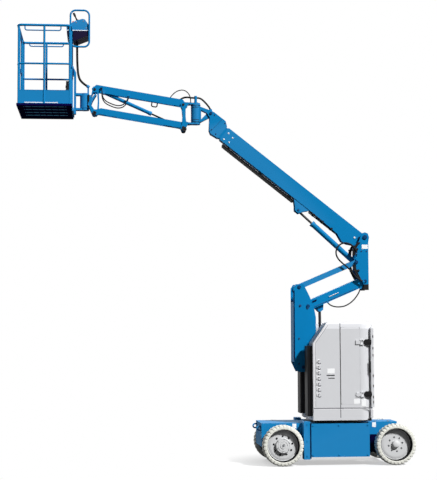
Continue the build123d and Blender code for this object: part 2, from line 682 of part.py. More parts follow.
RISER_EAR_INNER = 32
EAR = 14
EYE_HALF_WIDTH = 28
with BuildPart() as lower_link_main:
    bars(TOWER_FOOT, -RISER_ANGLE, 96, LOWER_BAR_INNER, LOWER_BAR_OUTER)
    for pin in (TOWER_FOOT, FRAME_PIN_A):
        cross(pin, 46, LINK_HALF_WIDTH)
    plates(
        side(RISER_BASE_PIN, -RISER_ANGLE),
        ((-80, 65), (80, 65), (38, -37), (-38, -37)),
        LOWER_BAR_INNER,
        LOWER_BAR_INNER + EAR,
    )
    bosses(RISER_BASE_PIN, 36, LOWER_BAR_INNER - 6, LOWER_BAR_INNER + EAR)
    cross(RISER_BASE_PIN, BASE_PIN_RADIUS, LOWER_BAR_INNER + EAR)
    cross(along(TOWER_FOOT, -RISER_ANGLE, LINK_LENGTH - 250), 30, LOWER_BAR_OUTER)
    bore((TOWER_FOOT, FRAME_PIN_A))
save(lower_link_main, "lower_link_main")

with BuildPart() as lower_link_level:
    bars(TOWER_FOOT_B, -RISER_ANGLE, 60, LOWER_BAR_INNER, LOWER_BAR_OUTER)
    for pin in (TOWER_FOOT_B, FRAME_PIN_B):
        cross(pin, 38, LINK_HALF_WIDTH)
    bore((TOWER_FOOT_B, FRAME_PIN_B))
save(lower_link_level, "lower_link_level")

with BuildPart() as tower:
    plates(
        side(GROUND),
        outline(
            (TOWER_FOOT, -68, -64), (TOWER_FOOT, 49, -64), (TOWER_FOOT, 94, 168), (TOWER_FOOT, 184, 368),
            (TOWER_HEAD_A, 111, -164), (TOWER_HEAD_A, 89, -43), (TOWER_HEAD_A, 26, 131),
            (TOWER_HEAD_B, 59, 39), (TOWER_HEAD_B, -51, 39), (TOWER_HEAD_B, -85, -17), (TOWER_FOOT, -130, 68),
        ),
        RISER_HALF_WIDTH - PLATE,
        RISER_HALF_WIDTH,
    )
    block(
        (TOWER_HEAD_B.X - 83, TOWER_HEAD_B.X - 71),
        (-RISER_HALF_WIDTH, RISER_HALF_WIDTH),
        (TOWER_FOOT.Z + 78, TOWER_HEAD_A.Z + 61),
    )
    both_sides(
        (TOWER_HEAD_A.X + 96, TOWER_HEAD_A.X + 108),
        72,
        RISER_HALF_WIDTH,
        (TOWER_FOOT.Z + 388, TOWER_HEAD_A.Z - 194),
    )
    for pin in (TOWER_FOOT, TOWER_FOOT_B, TOWER_HEAD_A):
        cross(pin, PIN_RADIUS, RISER_HALF_WIDTH + 8)
    bosses(TOWER_HEAD_B, PIN_RADIUS, 90, RISER_HALF_WIDTH + 8)
save(tower, "tower")

UPPER_END = 34
UPPER_TOP = 65  # half the depth of the upper main link
UPPER_WALL = 8
UPPER_OUTLINE = (
    (0, -28), (75, -UPPER_TOP), (LINK_LENGTH - 75, -UPPER_TOP), (LINK_LENGTH, -28),
    (LINK_LENGTH, 28), (LINK_LENGTH - 75, UPPER_TOP), (75, UPPER_TOP), (0, 28),
)
with BuildPart() as upper_link_main:
    upper = side(TOWER_HEAD_A, RISER_ANGLE)
    hollow = UPPER_TOP - UPPER_WALL
    slab(upper, UPPER_OUTLINE, LINK_HALF_WIDTH - 12)
    slab(
        upper,
        ((85, -hollow), (LINK_LENGTH - 85, -hollow), (LINK_LENGTH - 85, hollow), (85, hollow)),
        LINK_HALF_WIDTH - 12 - UPPER_WALL,
        mode=Mode.SUBTRACT,
    )
    for pin in (TOWER_HEAD_A, KNUCKLE_PIN_A):
        cross(pin, UPPER_END, LINK_HALF_WIDTH)
    plates(
        upper,
        ((85, 10 - UPPER_TOP), (235, 10 - UPPER_TOP), (190, -142), (120, -142)),
        RISER_EAR_INNER,
        RISER_EAR_INNER + EAR,
    )
    bosses(RISER_ROD_PIN, 34, RISER_EAR_INNER, RISER_EAR_INNER + EAR + 10)
    slab(
        upper,
        ((70, -80), (270, -80), (270, 15 - UPPER_TOP), (70, 15 - UPPER_TOP)),
        RISER_EAR_INNER,
        mode=Mode.SUBTRACT,
    )
    for end, beyond in ((RISER_HOSE[0], RISER_HOSE[1]), (RISER_HOSE[-1], RISER_HOSE[-2])):
        tube(toward(end, beyond, -12), toward(end, beyond, 10), BOSS_GAP)
    bore((TOWER_HEAD_A, KNUCKLE_PIN_A))
save(upper_link_main, "upper_link_main")

LEVEL_BAR_INNER = 90
LEVEL_BAR_OUTER = 120
with BuildPart() as upper_link_level:
    bars(TOWER_HEAD_B, RISER_ANGLE, 70, LEVEL_BAR_INNER, LEVEL_BAR_OUTER)
    for pin in (TOWER_HEAD_B, KNUCKLE_PIN_B):
        bosses(pin, 40, LEVEL_BAR_INNER, LEVEL_BAR_OUTER)
        bore((pin,))
save(upper_link_level, "upper_link_level")

BOOM_PIN_RADIUS = 32
KNUCKLE_BOTTOM = -46  # from the lower riser pin
with BuildPart() as knuckle:
    plates(
        side(GROUND),
        outline(
            (KNUCKLE_PIN_A, -125, 122), (KNUCKLE_PIN_A, -22, KNUCKLE_BOTTOM), (KNUCKLE_PIN_A, 51, KNUCKLE_BOTTOM),
            (BOOM_PIN, 49, -75), (BOOM_PIN, 62, 0), (BOOM_PIN, 42, 55), (BOOM_PIN, 0, 70),
            (BOOM_PIN, -43, 55), (BOOM_PIN, -63, 0), (KNUCKLE_PIN_B, -4, 194),
        ),
        RISER_HALF_WIDTH - PLATE,
        RISER_HALF_WIDTH,
    )
    block(
        (BOOM_PIN.X + 37, BOOM_PIN.X + 49),
        (-RISER_HALF_WIDTH, RISER_HALF_WIDTH),
        (KNUCKLE_PIN_A.Z + KNUCKLE_BOTTOM, BOOM_PIN.Z - 150),
    )
    for end in (KNUCKLE_HOSE[0], KNUCKLE_HOSE[-1]):
        inner = RISER_HALF_WIDTH - PLATE / 2
        outer = -KNUCKLE_HOSE_Y + BOSS_GAP
        with Locations(Vector(end.X, -(inner + outer) / 2, end.Z)):
            Cylinder(BOSS_GAP, outer - inner, rotation=(90, 0, 0))
    cross(KNUCKLE_PIN_A, PIN_RADIUS, RISER_HALF_WIDTH + 8)
    cross(KNUCKLE_PIN_B, PIN_RADIUS, RISER_HALF_WIDTH + 8)
    cross(BOOM_PIN, BOOM_PIN_RADIUS, RISER_HALF_WIDTH + 10)
save(knuckle, "knuckle")

# rubber feet under the knuckle's plates, which come down on the riser frame
PAD_DEPTH = 80
with BuildPart() as rest_pads:
    both_sides(
        (-19, 49),
        RISER_HALF_WIDTH - PLATE,
        RISER_HALF_WIDTH + 8,
        (KNUCKLE_BOTTOM - PAD_DEPTH, KNUCKLE_BOTTOM),
        KNUCKLE_PIN_A,
    )
save(rest_pads, "rest_pads")


# ---------------------------------------------------------------- hydraulic cylinders
CYLINDER_WALL = 8
GLAND = 30


def cylinder(base, tip, shortest, stand_off, radius, rod_radius, base_half, pin_radius, names):
    """A cylinder drawn at its length at rest, from its base eye to its rod's eye.

    shortest is its length with the rod in, and stand_off how far the rod's eye then stays out.
    """
    line = (tip - base).normalized()
    mouth = base + line * (shortest - stand_off)
    floor = base + line * (radius + 20)
    tail = tip - line * (shortest - radius - 25)
    with BuildPart() as barrel:
        tube(floor - line * 20, mouth, radius)
        cross(base, radius - 2, base_half)
        tube(base, floor, radius - CYLINDER_WALL)
        tube(mouth - line * (GLAND + 10), mouth, radius + 5)
        tube(floor, mouth - line * GLAND, radius - CYLINDER_WALL, mode=Mode.SUBTRACT)
        tube(mouth - line * GLAND, mouth, rod_radius + RUNNING, mode=Mode.SUBTRACT)
        cross(base, pin_radius + RUNNING, base_half, mode=Mode.SUBTRACT)
    save(barrel, names[0])
    with BuildPart() as rod:
        tube(tail, tip, rod_radius)
        tube(tail, tail + line * GLAND, radius - CYLINDER_WALL - RUNNING)
        cross(tip, rod_radius + 9, EYE_HALF_WIDTH)
    save(rod, names[1])


JIB_PIN_RADIUS = 18
JIB_HALF = 30  # half width of the space between the jib's plates that the cylinder lies in
# base and rod pin, shortest length, stand-off, barrel and rod radius, half width and pin of the base eye
CYLINDERS = (
    ("riser", RISER_BASE_PIN, RISER_ROD_PIN, 761, 115, 45, 20, LOWER_BAR_INNER - 8, BASE_PIN_RADIUS),
    ("lift", KNUCKLE_PIN_B, LIFT_ROD_PIN, 878, 44, 38, 16, 40, PIN_RADIUS),
    ("jib", JIB_BASE_PIN, JIB_PIN_LOW, 881, 146, 26, 12, JIB_HALF, JIB_PIN_RADIUS),
)
for kind, base, tip, shortest, stand_off, barrel_radius, rod_radius, base_half, pin_radius in CYLINDERS:
    names = f"{kind}_barrel", f"{kind}_rod"
    cylinder(base, tip, shortest, stand_off, barrel_radius, rod_radius, base_half, pin_radius, names)

# ---------------------------------------------------------------- boom
BOOM_BOTTOM = BOOM_TOP - BOOM_DEPTH
BOOM_START = 95
boom_plane = side(BOOM_PIN, BOOM_ANGLE, facing=-1)
TAIL_OUTLINE = (
    (-75, -30), (-60, BOOM_TOP), (700, BOOM_TOP), (700, BOOM_BOTTOM), (330, BOOM_BOTTOM - 18),
    (215, -242), (130, -220), (10, -160), (-50, -110),
)
LUG_EAR_INNER = 47
TAIL_SLOT_END = 580  # the underside is open this far, so the lift cylinder can tuck in


def boom_slab(start, end, low, high, half_width, mode=Mode.ADD):
    """A box along the boom, between two runs from its pivot and two heights above its line."""
    slab(boom_plane, ((start, low), (end, low), (end, high), (start, high)), half_width, mode)


with BuildPart() as boom_outer:
    boom_slab(BOOM_START, BOOM_FRONT, BOOM_BOTTOM, BOOM_TOP, BOOM_HALF_WIDTH)
    boom_slab(
        BOOM_START + BOOM_WALL,
        BOOM_FRONT + 1,
        BOOM_BOTTOM + BOOM_WALL,
        BOOM_TOP - BOOM_WALL,
        BOOM_HALF_WIDTH - BOOM_WALL,
        Mode.SUBTRACT,
    )
    boom_slab(BOOM_START - 5, TAIL_SLOT_END, BOOM_BOTTOM - 1, -100, BOOM_HALF_WIDTH - PLATE - 6, Mode.SUBTRACT)
    boom_slab(
        LIFT_LUG_U - 85, LIFT_LUG_U + 90, BOOM_BOTTOM - 1, BOOM_BOTTOM + BOOM_WALL, EYE_HALF_WIDTH + 6, Mode.SUBTRACT
    )
    plates(boom_plane, TAIL_OUTLINE, BOOM_HALF_WIDTH - PLATE, BOOM_HALF_WIDTH)
    cross(BOOM_PIN, 62, BOOM_HALF_WIDTH)
    cross(BOOM_PIN, 50, RISER_HALF_WIDTH - PLATE - 4)
    plates(
        side(LIFT_ROD_PIN, BOOM_ANGLE, facing=-1),
        ((-115, 98), (115, 98), (35, -36), (-35, -36)),
        LUG_EAR_INNER,
        LUG_EAR_INNER + EAR,
    )
    bosses(LIFT_ROD_PIN, 34, LUG_EAR_INNER, LUG_EAR_INNER + EAR + 8)
    cross(BOOM_PIN, BOOM_PIN_RADIUS + RUNNING, RISER_HALF_WIDTH, mode=Mode.SUBTRACT)
save(boom_outer, "boom_outer")

INNER_START = 900
INNER_WALL = 6
WEAR_PAD = 4.7  # the pads fill the play between the two tubes but for a running gap
INNER_HALF_WIDTH = BOOM_HALF_WIDTH - BOOM_WALL - 5
INNER_TOP = BOOM_TOP - BOOM_WALL - 5
INNER_BOTTOM = BOOM_BOTTOM + BOOM_WALL + 5
HEAD_START = BOOM_FRONT + 30
FRONT_PAD = BOOM_FRONT - EXTENSION_STROKE
with BuildPart() as boom_inner:
    boom_slab(INNER_START, HEAD_START + 10, INNER_BOTTOM, INNER_TOP, INNER_HALF_WIDTH)
    for start, end in ((INNER_START, INNER_START + 70), (FRONT_PAD - 70, FRONT_PAD)):
        boom_slab(start, end, INNER_BOTTOM - WEAR_PAD, INNER_TOP + WEAR_PAD, INNER_HALF_WIDTH + WEAR_PAD)
    boom_slab(
        INNER_START - 1,
        HEAD_START - 10,
        INNER_BOTTOM + INNER_WALL,
        INNER_TOP - INNER_WALL,
        INNER_HALF_WIDTH - INNER_WALL,
        Mode.SUBTRACT,
    )
    # the head: side plates and a filling, set out from the levelling pin
    head_plane = side(LEVEL_PIN, BOOM_ANGLE, facing=-1)
    head_rear = HEAD_START - BOOM_REACH
    plates(
        head_plane,
        (
            (head_rear, -214), (-174, -231), (-128, -203), (-24, -58), (54, -28),
            (54, 28), (-31, 42), (-230, 44), (head_rear, -5),
        ),
        60,
        BOOM_HALF_WIDTH,
    )
    slab(head_plane, ((head_rear, -214), (-176, -228), (-236, 22), (head_rear, -5)), 60)
    cross(LEVEL_PIN, 22, BOOM_HALF_WIDTH + 8)
save(boom_inner, "boom_inner")

TRACK_START = 1100
TRACK_END = BOOM_FRONT - 70
TRACK_GAP = 19  # between the boom's underside and the track
TRACK_DEPTH = 42
TRACK_STAND = 40
with BuildPart() as cable_track:
    track_top = BOOM_BOTTOM - TRACK_GAP
    boom_slab(TRACK_START, TRACK_END, track_top - TRACK_DEPTH, track_top, 45)
    for stand in (TRACK_START + 80, (TRACK_START + TRACK_END) / 2 - 50, TRACK_END - 120):
        boom_slab(stand, stand + TRACK_STAND, track_top - 4, BOOM_BOTTOM, 30)
save(cable_track, "cable_track")

# ---------------------------------------------------------------- jib
ROTATOR_RADIUS = 68
ROTATOR_HALF = 131
ROTATOR_BOTTOM = ROTATOR.Z - ROTATOR_HALF
ROTATOR_TOP = ROTATOR.Z + ROTATOR_HALF
with BuildPart() as tip_bracket:
    with Locations(ROTATOR):
        Cylinder(ROTATOR_RADIUS, 2 * ROTATOR_HALF)
    cross(LEVEL_PIN, 40, 54)
    slab(
        side(LEVEL_PIN),
        ((11, 39), (-194, 116), (-194, -119), (-139, -119), (21, -34)),
        54,
    )
    slab(side(LEVEL_PIN), ((-138, 52), (-138, -82), (-52, 10)), 55, mode=Mode.SUBTRACT)
    cross(TIP_HOSE[-1], BOSS_GAP + 4, 24)
    cross(LEVEL_PIN, 22 + RUNNING, 60, mode=Mode.SUBTRACT)
save(tip_bracket, "tip_bracket")

JIB_EAR_INNER = 66
JIB_EAR_OUTER = 80
JIB_PLATE_INNER = 38
JIB_PLATE_OUTER = 46
FLANGE = 22
FLANGE_FRONT = JIB_PIN_LOW.X + 34
FLANGE_WIDE = 80  # nearer the axis than this, the flanges stay inside the boom head's width
with BuildPart() as jib_base:
    for low, high in (
        (ROTATOR_BOTTOM - RUNNING - FLANGE, ROTATOR_BOTTOM - RUNNING),
        (ROTATOR_TOP + RUNNING, ROTATOR_TOP + RUNNING + FLANGE),
    ):
        with Locations(at(ROTATOR.X, (low + high) / 2)):
            Cylinder(ROTATOR_RADIUS - 4, high - low)
        both_sides((FLANGE_FRONT, ROTATOR.X - FLANGE_WIDE), JIB_EAR_INNER - 4, JIB_EAR_OUTER, (low, high))
        block((FLANGE_FRONT + 50, ROTATOR.X - 20), (4 - JIB_EAR_INNER, JIB_EAR_INNER - 4), (low, high))
    with Locations(at(ROTATOR.X, ROTATOR_TOP + FLANGE + 50)):
        Cylinder(SWIVEL_RADIUS, 110)
    plates(
        side(GROUND),
        outline(
            (JIB_PIN_HIGH, 68, 33), (JIB_PIN_HIGH, -26, 35), (JIB_PIN_HIGH, -38, 0), (JIB_PIN_HIGH, -16, -50),
            (JIB_PIN_LOW, -6, 165), (JIB_PIN_LOW, -16, 55), (JIB_PIN_LOW, -38, 0), (JIB_PIN_LOW, -21, -37),
            (JIB_PIN_LOW, 19, -37), (JIB_PIN_LOW, 68, 51), (JIB_PIN_LOW, 68, 75), (JIB_PIN_LOW, 40, 85),
            (JIB_PIN_LOW, 34, 160), (JIB_PIN_HIGH, 34, -70), (JIB_PIN_HIGH, 44, -35), (JIB_PIN_HIGH, 68, -12),
        ),
        JIB_EAR_INNER,
        JIB_EAR_OUTER,
    )
    for pin in (JIB_PIN_LOW, JIB_PIN_HIGH):
        bosses(pin, JIB_PIN_RADIUS, JIB_PLATE_INNER, JIB_EAR_OUTER + 6)
save(jib_base, "jib_base")

# both arms stand above the line of their pins
ARM_TOP = 75
UPPER_ARM_BOTTOM = -26
LOWER_ARM_BOTTOM = -10
jib_high = side(JIB_PIN_HIGH, JIB_ANGLE, facing=-1)
jib_low = side(JIB_PIN_LOW, JIB_ANGLE, facing=-1)
with BuildPart() as jib_upper:
    plates(
        jib_high,
        (
            (-22, -22), (-22, 40), (15, ARM_TOP), (JIB_LENGTH - 11, ARM_TOP), (JIB_LENGTH + 45, 14),
            (JIB_LENGTH + 30, UPPER_ARM_BOTTOM), (40, UPPER_ARM_BOTTOM),
        ),
        JIB_PLATE_INNER,
        JIB_PLATE_OUTER,
    )
    bosses(JIB_PIN_HIGH, 30, JIB_PLATE_INNER, JIB_EAR_INNER - 3)
    cross(HEAD_PIN_HIGH, 30, JIB_EAR_INNER - 3)
    bosses(JIB_BASE_PIN, JIB_PIN_RADIUS, 0, JIB_PLATE_OUTER + 8)
    bosses(JIB_BASE_PIN, 26, JIB_HALF + 2, JIB_PLATE_OUTER + 8)
    for end in (JIB_HOSE_FAR[0], JIB_HOSE_FAR[-1]):
        bosses(at(end.X, end.Z), BOSS_GAP, JIB_PLATE_OUTER - 2, JIB_HOSE_Y + BOSS_GAP)
    for pin in (JIB_PIN_HIGH, HEAD_PIN_HIGH):
        cross(pin, JIB_PIN_RADIUS + RUNNING, JIB_EAR_OUTER, mode=Mode.SUBTRACT)
save(jib_upper, "jib_upper")

with BuildPart() as jib_lower:
    plates(
        jib_low,
        (
            (-24, -20), (-26, 10), (30, ARM_TOP), (JIB_LENGTH - 75, ARM_TOP), (JIB_LENGTH - 20, 50), (JIB_LENGTH + 22, 10),
            (JIB_LENGTH + 24, -20), (JIB_LENGTH - 60, LOWER_ARM_BOTTOM), (60, LOWER_ARM_BOTTOM),
        ),
        40,
        62,
    )
    cross(HEAD_PIN_LOW, 32, JIB_EAR_INNER - 3)
    bosses(JIB_PIN_LOW, 32, 40, JIB_EAR_INNER - 3)
    for pin in (JIB_PIN_LOW, HEAD_PIN_LOW):
        cross(pin, JIB_PIN_RADIUS + RUNNING, JIB_EAR_OUTER, mode=Mode.SUBTRACT)
save(jib_lower, "jib_lower")

# ---------------------------------------------------------------- platform
HEAD_RADIUS = 68
HEAD_HEIGHT = 180
HEAD_FLANGE = 30
HEAD_BOTTOM = PLATFORM_AXIS.Z
HEAD_TOP = HEAD_BOTTOM + HEAD_HEIGHT
with BuildPart() as platform_head:
    with Locations(PLATFORM_AXIS + Vector(0, 0, HEAD_HEIGHT / 2)):
        Cylinder(HEAD_RADIUS, HEAD_HEIGHT)
    plates(
        side(GROUND),
        outline(
            (HEAD_PIN_HIGH, -25, 40), (HEAD_PIN_HIGH, 30, 40), (HEAD_PIN_HIGH, 56, 0), (HEAD_PIN_LOW, 62, 163),
            (HEAD_PIN_LOW, 56, 0), (HEAD_PIN_LOW, 30, -38), (HEAD_PIN_LOW, -30, -38), (HEAD_PIN_LOW, -75, 65),
            (HEAD_PIN_LOW, -75, 243), (HEAD_PIN_LOW, -50, 243),
        ),
        JIB_EAR_INNER,
        JIB_EAR_OUTER,
    )
    plates(
        side(GROUND),
        outline(
            (HEAD_PIN_HIGH, -22, -42), (HEAD_PIN_HIGH, 34, -38), (HEAD_PIN_LOW, 42, 163), (HEAD_PIN_LOW, 34, 40),
            (HEAD_PIN_LOW, -8, 42), (HEAD_PIN_LOW, -50, 105), (HEAD_PIN_LOW, -50, 225),
        ),
        JIB_EAR_INNER - 1,
        JIB_EAR_OUTER + 1,
        mode=Mode.SUBTRACT,
    )
    block((-75, -50), (-JIB_EAR_OUTER, JIB_EAR_OUTER), (65, 243), HEAD_PIN_LOW)
    for pin in (HEAD_PIN_LOW, HEAD_PIN_HIGH):
        cross(pin, JIB_PIN_RADIUS, JIB_EAR_OUTER + 6)
save(platform_head, "platform_head")

SUPPORT_X = (RAIL_RADIUS, 48)  # the upright behind the basket, from the basket's rear edge
SUPPORT_Z = (-53, 596)
with BuildPart() as platform_support:
    for low, high in (
        (HEAD_BOTTOM - RUNNING - HEAD_FLANGE, HEAD_BOTTOM - RUNNING),
        (HEAD_TOP + RUNNING, HEAD_TOP + RUNNING + HEAD_FLANGE),
    ):
        with Locations(at(PLATFORM_AXIS.X, (low + high) / 2)):
            Cylinder(HEAD_RADIUS - 6, high - low)
        block((BASKET.X + SUPPORT_X[0], PLATFORM_AXIS.X), (-50, 50), (low, high))
    slab(
        side(BASKET),
        (
            (SUPPORT_X[0], SUPPORT_Z[0]), (SUPPORT_X[1], SUPPORT_Z[0]), (SUPPORT_X[1], SUPPORT_Z[1] - 60),
            (SUPPORT_X[0], SUPPORT_Z[1]),
        ),
        50,
    )
    for z in ((540, 570), (-50, -6)):
        block((0, RAIL_RADIUS + 1), (-300, 300), z, BASKET)
    # clamp that the hose from the control box ends in
    clamp, before = PLATFORM_HOSE[-1], PLATFORM_HOSE[-2]
    tube(toward(clamp, before, -40), clamp, 22)
    foot_x = clamp.X + 8, clamp.X + 30
    block(foot_x, (-15, 15), (HEAD_TOP + HEAD_FLANGE, clamp.Z - 10))
save(platform_support, "platform_support")

BASKET_HALF = BASKET_WIDTH / 2
RAIL_Z = BASKET.Z + BASKET_HEIGHT - RAIL_RADIUS
MID_Z = BASKET.Z + BASKET_HEIGHT / 2
TOE_HEIGHT = 175
FLOOR_THICKNESS = 30
DECK = 3  # the deck plate stands this much above the rim that the posts stand on
GATE_HALF = 290
rail_front = FRONT_REACH + RAIL_RADIUS
rail_rear = BASKET.X - RAIL_RADIUS
rail_side = BASKET_HALF - RAIL_RADIUS
POSTS = (
    (rail_front, rail_side),
    (rail_rear, rail_side),
    (rail_front, GATE_HALF),
    (rail_rear, GATE_HALF),
    ((rail_front + rail_rear) / 2, rail_side),
)
GATE_EDGE = GATE_HALF - 2 * POST_RADIUS - 6
GATE_TOP = RAIL_Z - 2 * RAIL_RADIUS - 25
GATE_BOTTOM = BASKET.Z + 40
GATE_RAIL = 12
GATE_STILE_TOP = GATE_TOP + GATE_RAIL + 4
HINGE_EAR = 8
TOE_HALF = 3  # half the thickness of the toe boards, which stand on the line of the posts
GRAB_RADIUS = 8
GRAB_INSET = 110  # from the basket's ends to the grab rails' legs
GRAB_DEPTHS = ((-1, 74), (1, 50))  # side of the machine, and how far the grab rail hangs below the top rail
GUARD_RADIUS = 13
GUARD_Y = -208
# loop that guards the control box, from the basket's rear edge
GUARD_LOOP = (
    (-18, 960), (-18, 1350), (42, 1412), (180, 1415), (245, 1355), (248, 995), (180, 925), (50, 920), (-18, 960),
)


def basket_point(x, y, z):
    """A point of the basket, with y given for the far side."""
    return at(x, z) + Vector(0, y, 0)


with BuildPart() as basket_frame:
    for z, radius in ((RAIL_Z, RAIL_RADIUS), (MID_Z, MID_RAIL_RADIUS)):
        for hand in (-1, 1):
            rail_y = hand * rail_side
            tube(basket_point(rail_front, rail_y, z), basket_point(rail_rear, rail_y, z), radius)
        tube(basket_point(rail_rear, -rail_side, z), basket_point(rail_rear, rail_side, z), radius)
    tube(basket_point(rail_front, -rail_side, RAIL_Z), basket_point(rail_front, rail_side, RAIL_Z), RAIL_RADIUS)
    for hand in (-1, 1):
        tube(
            basket_point(rail_front, hand * rail_side, MID_Z),
            basket_point(rail_front, hand * GATE_HALF, MID_Z),
            MID_RAIL_RADIUS,
        )
        for x, y in POSTS:
            tube(basket_point(x, hand * y, BASKET.Z), basket_point(x, hand * y, RAIL_Z), POST_RADIUS)
    toe_z = BASKET.Z, BASKET.Z + TOE_HEIGHT
    both_sides((rail_front - TOE_HALF, rail_front + TOE_HALF), GATE_HALF, rail_side, toe_z)
    both_sides((rail_front, rail_rear), rail_side - TOE_HALF, rail_side + TOE_HALF, toe_z)
    block((rail_rear - TOE_HALF, rail_rear + TOE_HALF), (-rail_side, rail_side), toe_z)
    for z in (GATE_BOTTOM - RUNNING - HINGE_EAR / 2, GATE_STILE_TOP + RUNNING + HINGE_EAR / 2):
        ear_z = z - HINGE_EAR / 2, z + HINGE_EAR / 2
        block((rail_front - 12, rail_front + 12), (GATE_EDGE - 12, GATE_HALF), ear_z)
    for hand, depth in GRAB_DEPTHS:
        grab_y = hand * rail_side
        legs = FRONT_REACH + GRAB_INSET, BASKET.X - GRAB_INSET - 40
        steps = (
            (legs[0], 0), (legs[0], 30 - depth), (legs[0] + 30, -depth),
            (legs[1] - 30, -depth), (legs[1], 30 - depth), (legs[1], 0),
        )
        frame_tube([basket_point(x, grab_y, RAIL_Z + z) for x, z in steps], GRAB_RADIUS)
    frame_tube([BASKET + Vector(x, GUARD_Y, z) for x, z in GUARD_LOOP], GUARD_RADIUS)
save(basket_frame, "basket_frame")

RIM = 40
with BuildPart() as basket_floor:
    block(
        (FRONT_REACH, BASKET.X),
        (-BASKET_HALF, BASKET_HALF),
        (BASKET.Z - FLOOR_THICKNESS, BASKET.Z - RUNNING),
    )
    block(
        (FRONT_REACH + RIM, BASKET.X - RIM),
        (-BASKET_HALF + RIM, BASKET_HALF - RIM),
        (BASKET.Z - FLOOR_THICKNESS, BASKET.Z + DECK),
    )
    block(
        (FRONT_REACH + 25, BASKET.X - 25),
        (-BASKET_HALF + 25, BASKET_HALF - 25),
        (BASKET.Z - FLOOR_THICKNESS, BASKET.Z - 4),
        mode=Mode.SUBTRACT,
    )
save(basket_floor, "basket_floor")

GATE_RAILS = (GATE_TOP, MID_Z, BASKET.Z + TOE_HEIGHT)
with BuildPart() as gate:
    for z in GATE_RAILS:
        tube(basket_point(rail_front, -GATE_EDGE, z), basket_point(rail_front, GATE_EDGE, z), GATE_RAIL)
    for hand in (-1, 1):
        stile = hand * GATE_EDGE
        tube(basket_point(rail_front, stile, GATE_BOTTOM), basket_point(rail_front, stile, GATE_STILE_TOP), GATE_RAIL + 2)
    block(
        (rail_front - TOE_HALF, rail_front + TOE_HALF),
        (-GATE_EDGE, GATE_EDGE),
        (GATE_BOTTOM + 5, BASKET.Z + TOE_HEIGHT),
    )
save(gate, "gate")

# the control box hooks over the rear rail, and two clamps hold it there
CONTROL_HALF = 190
CLAMPS = (130, 160)  # inner and outer faces of the clamps, either side of the middle
CONTROL_OUTLINE = (
    (-87, 1151), (-41, 1190), (-17, 1210), (53, 1245), (135, 1269), (170, 1262), (223, 1186),
    (229, 1116), (217, 1035), (41, 965), (-17, 965), (-76, 1024),
)
with BuildPart() as control_box:
    slab(side(BASKET), CONTROL_OUTLINE, CONTROL_HALF)
    block((-42, 6), (-CONTROL_HALF - 1, CONTROL_HALF + 1), (900, 1106), BASKET, mode=Mode.SUBTRACT)
    hook = at(rail_rear, RAIL_Z)
    bosses(hook, RAIL_RADIUS + 10, *CLAMPS)
    bosses(hook, RAIL_RADIUS + RUNNING, CLAMPS[0] - 1, CLAMPS[1] + 1, mode=Mode.SUBTRACT)
    tube(PLATFORM_HOSE[0] + Vector(0, 0, RUNNING), PLATFORM_HOSE[0] + Vector(0, 0, 40), 22)
save(control_box, "control_box")

# power outlet on the basket's rear toe board, on the near side
with BuildPart() as outlet_box:
    block(
        (-RAIL_RADIUS - TOE_HALF - 62, -RAIL_RADIUS - TOE_HALF - RUNNING),
        (-420, -340),
        (TOE_HEIGHT - 10, TOE_HEIGHT + 165),
        BASKET,
    )
save(outlet_box, "outlet_box")

# ---------------------------------------------------------------- hoses, in the order of their bodies
hose("riser_hose", 9, trimmed(RISER_HOSE, 10 + RUNNING, 10 + RUNNING))
hose("knuckle_hose", 11, trimmed(KNUCKLE_HOSE, BOSS_GAP + RUNNING, BOSS_GAP + RUNNING))
hose("tip_hose", 13, trimmed(TIP_HOSE, 0, BOSS_GAP + 4 + RUNNING))
hose("swivel_hose", 13, SWIVEL_HOSE)
hose("arch_hose", 7, ARCH_HOSE)
hose("jib_hose_near", 8, trimmed(JIB_HOSE_NEAR, BOSS_GAP + RUNNING, BOSS_GAP + RUNNING))
hose("jib_hose_far", 8, trimmed(JIB_HOSE_FAR, BOSS_GAP + RUNNING, BOSS_GAP + RUNNING))
hose("platform_hose", 16, trimmed(PLATFORM_HOSE, 0, RUNNING))
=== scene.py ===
import json
from math import cos, radians, sin, tau

import bpy
import numpy as np
from bpy.props import FloatProperty, FloatVectorProperty, IntProperty
from mathutils import Matrix, Vector


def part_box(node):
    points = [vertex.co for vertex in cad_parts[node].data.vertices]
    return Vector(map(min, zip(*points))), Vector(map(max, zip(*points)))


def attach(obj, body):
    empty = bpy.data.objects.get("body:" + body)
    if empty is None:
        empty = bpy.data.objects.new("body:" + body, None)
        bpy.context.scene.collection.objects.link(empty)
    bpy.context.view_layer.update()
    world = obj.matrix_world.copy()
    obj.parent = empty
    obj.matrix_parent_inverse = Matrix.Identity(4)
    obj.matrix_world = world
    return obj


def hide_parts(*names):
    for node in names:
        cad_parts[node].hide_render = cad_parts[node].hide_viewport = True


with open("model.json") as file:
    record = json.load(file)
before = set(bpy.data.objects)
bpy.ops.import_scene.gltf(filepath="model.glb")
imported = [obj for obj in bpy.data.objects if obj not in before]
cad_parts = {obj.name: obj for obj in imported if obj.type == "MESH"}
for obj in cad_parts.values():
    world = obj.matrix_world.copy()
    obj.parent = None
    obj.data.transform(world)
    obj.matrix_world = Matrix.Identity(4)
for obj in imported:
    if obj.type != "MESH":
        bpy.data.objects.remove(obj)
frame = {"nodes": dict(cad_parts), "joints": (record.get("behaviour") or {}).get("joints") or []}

bl_info = {
    "name": "Articulating boom lift",
    "description": "Dresses the boom lift's fixed frame with wheels, tubes, hoses, fittings and paint",
    "version": (1, 0, 0),
    "blender": (4, 5, 0),
    "location": "View3D > Sidebar > Boom lift",
    "category": "Object",
}

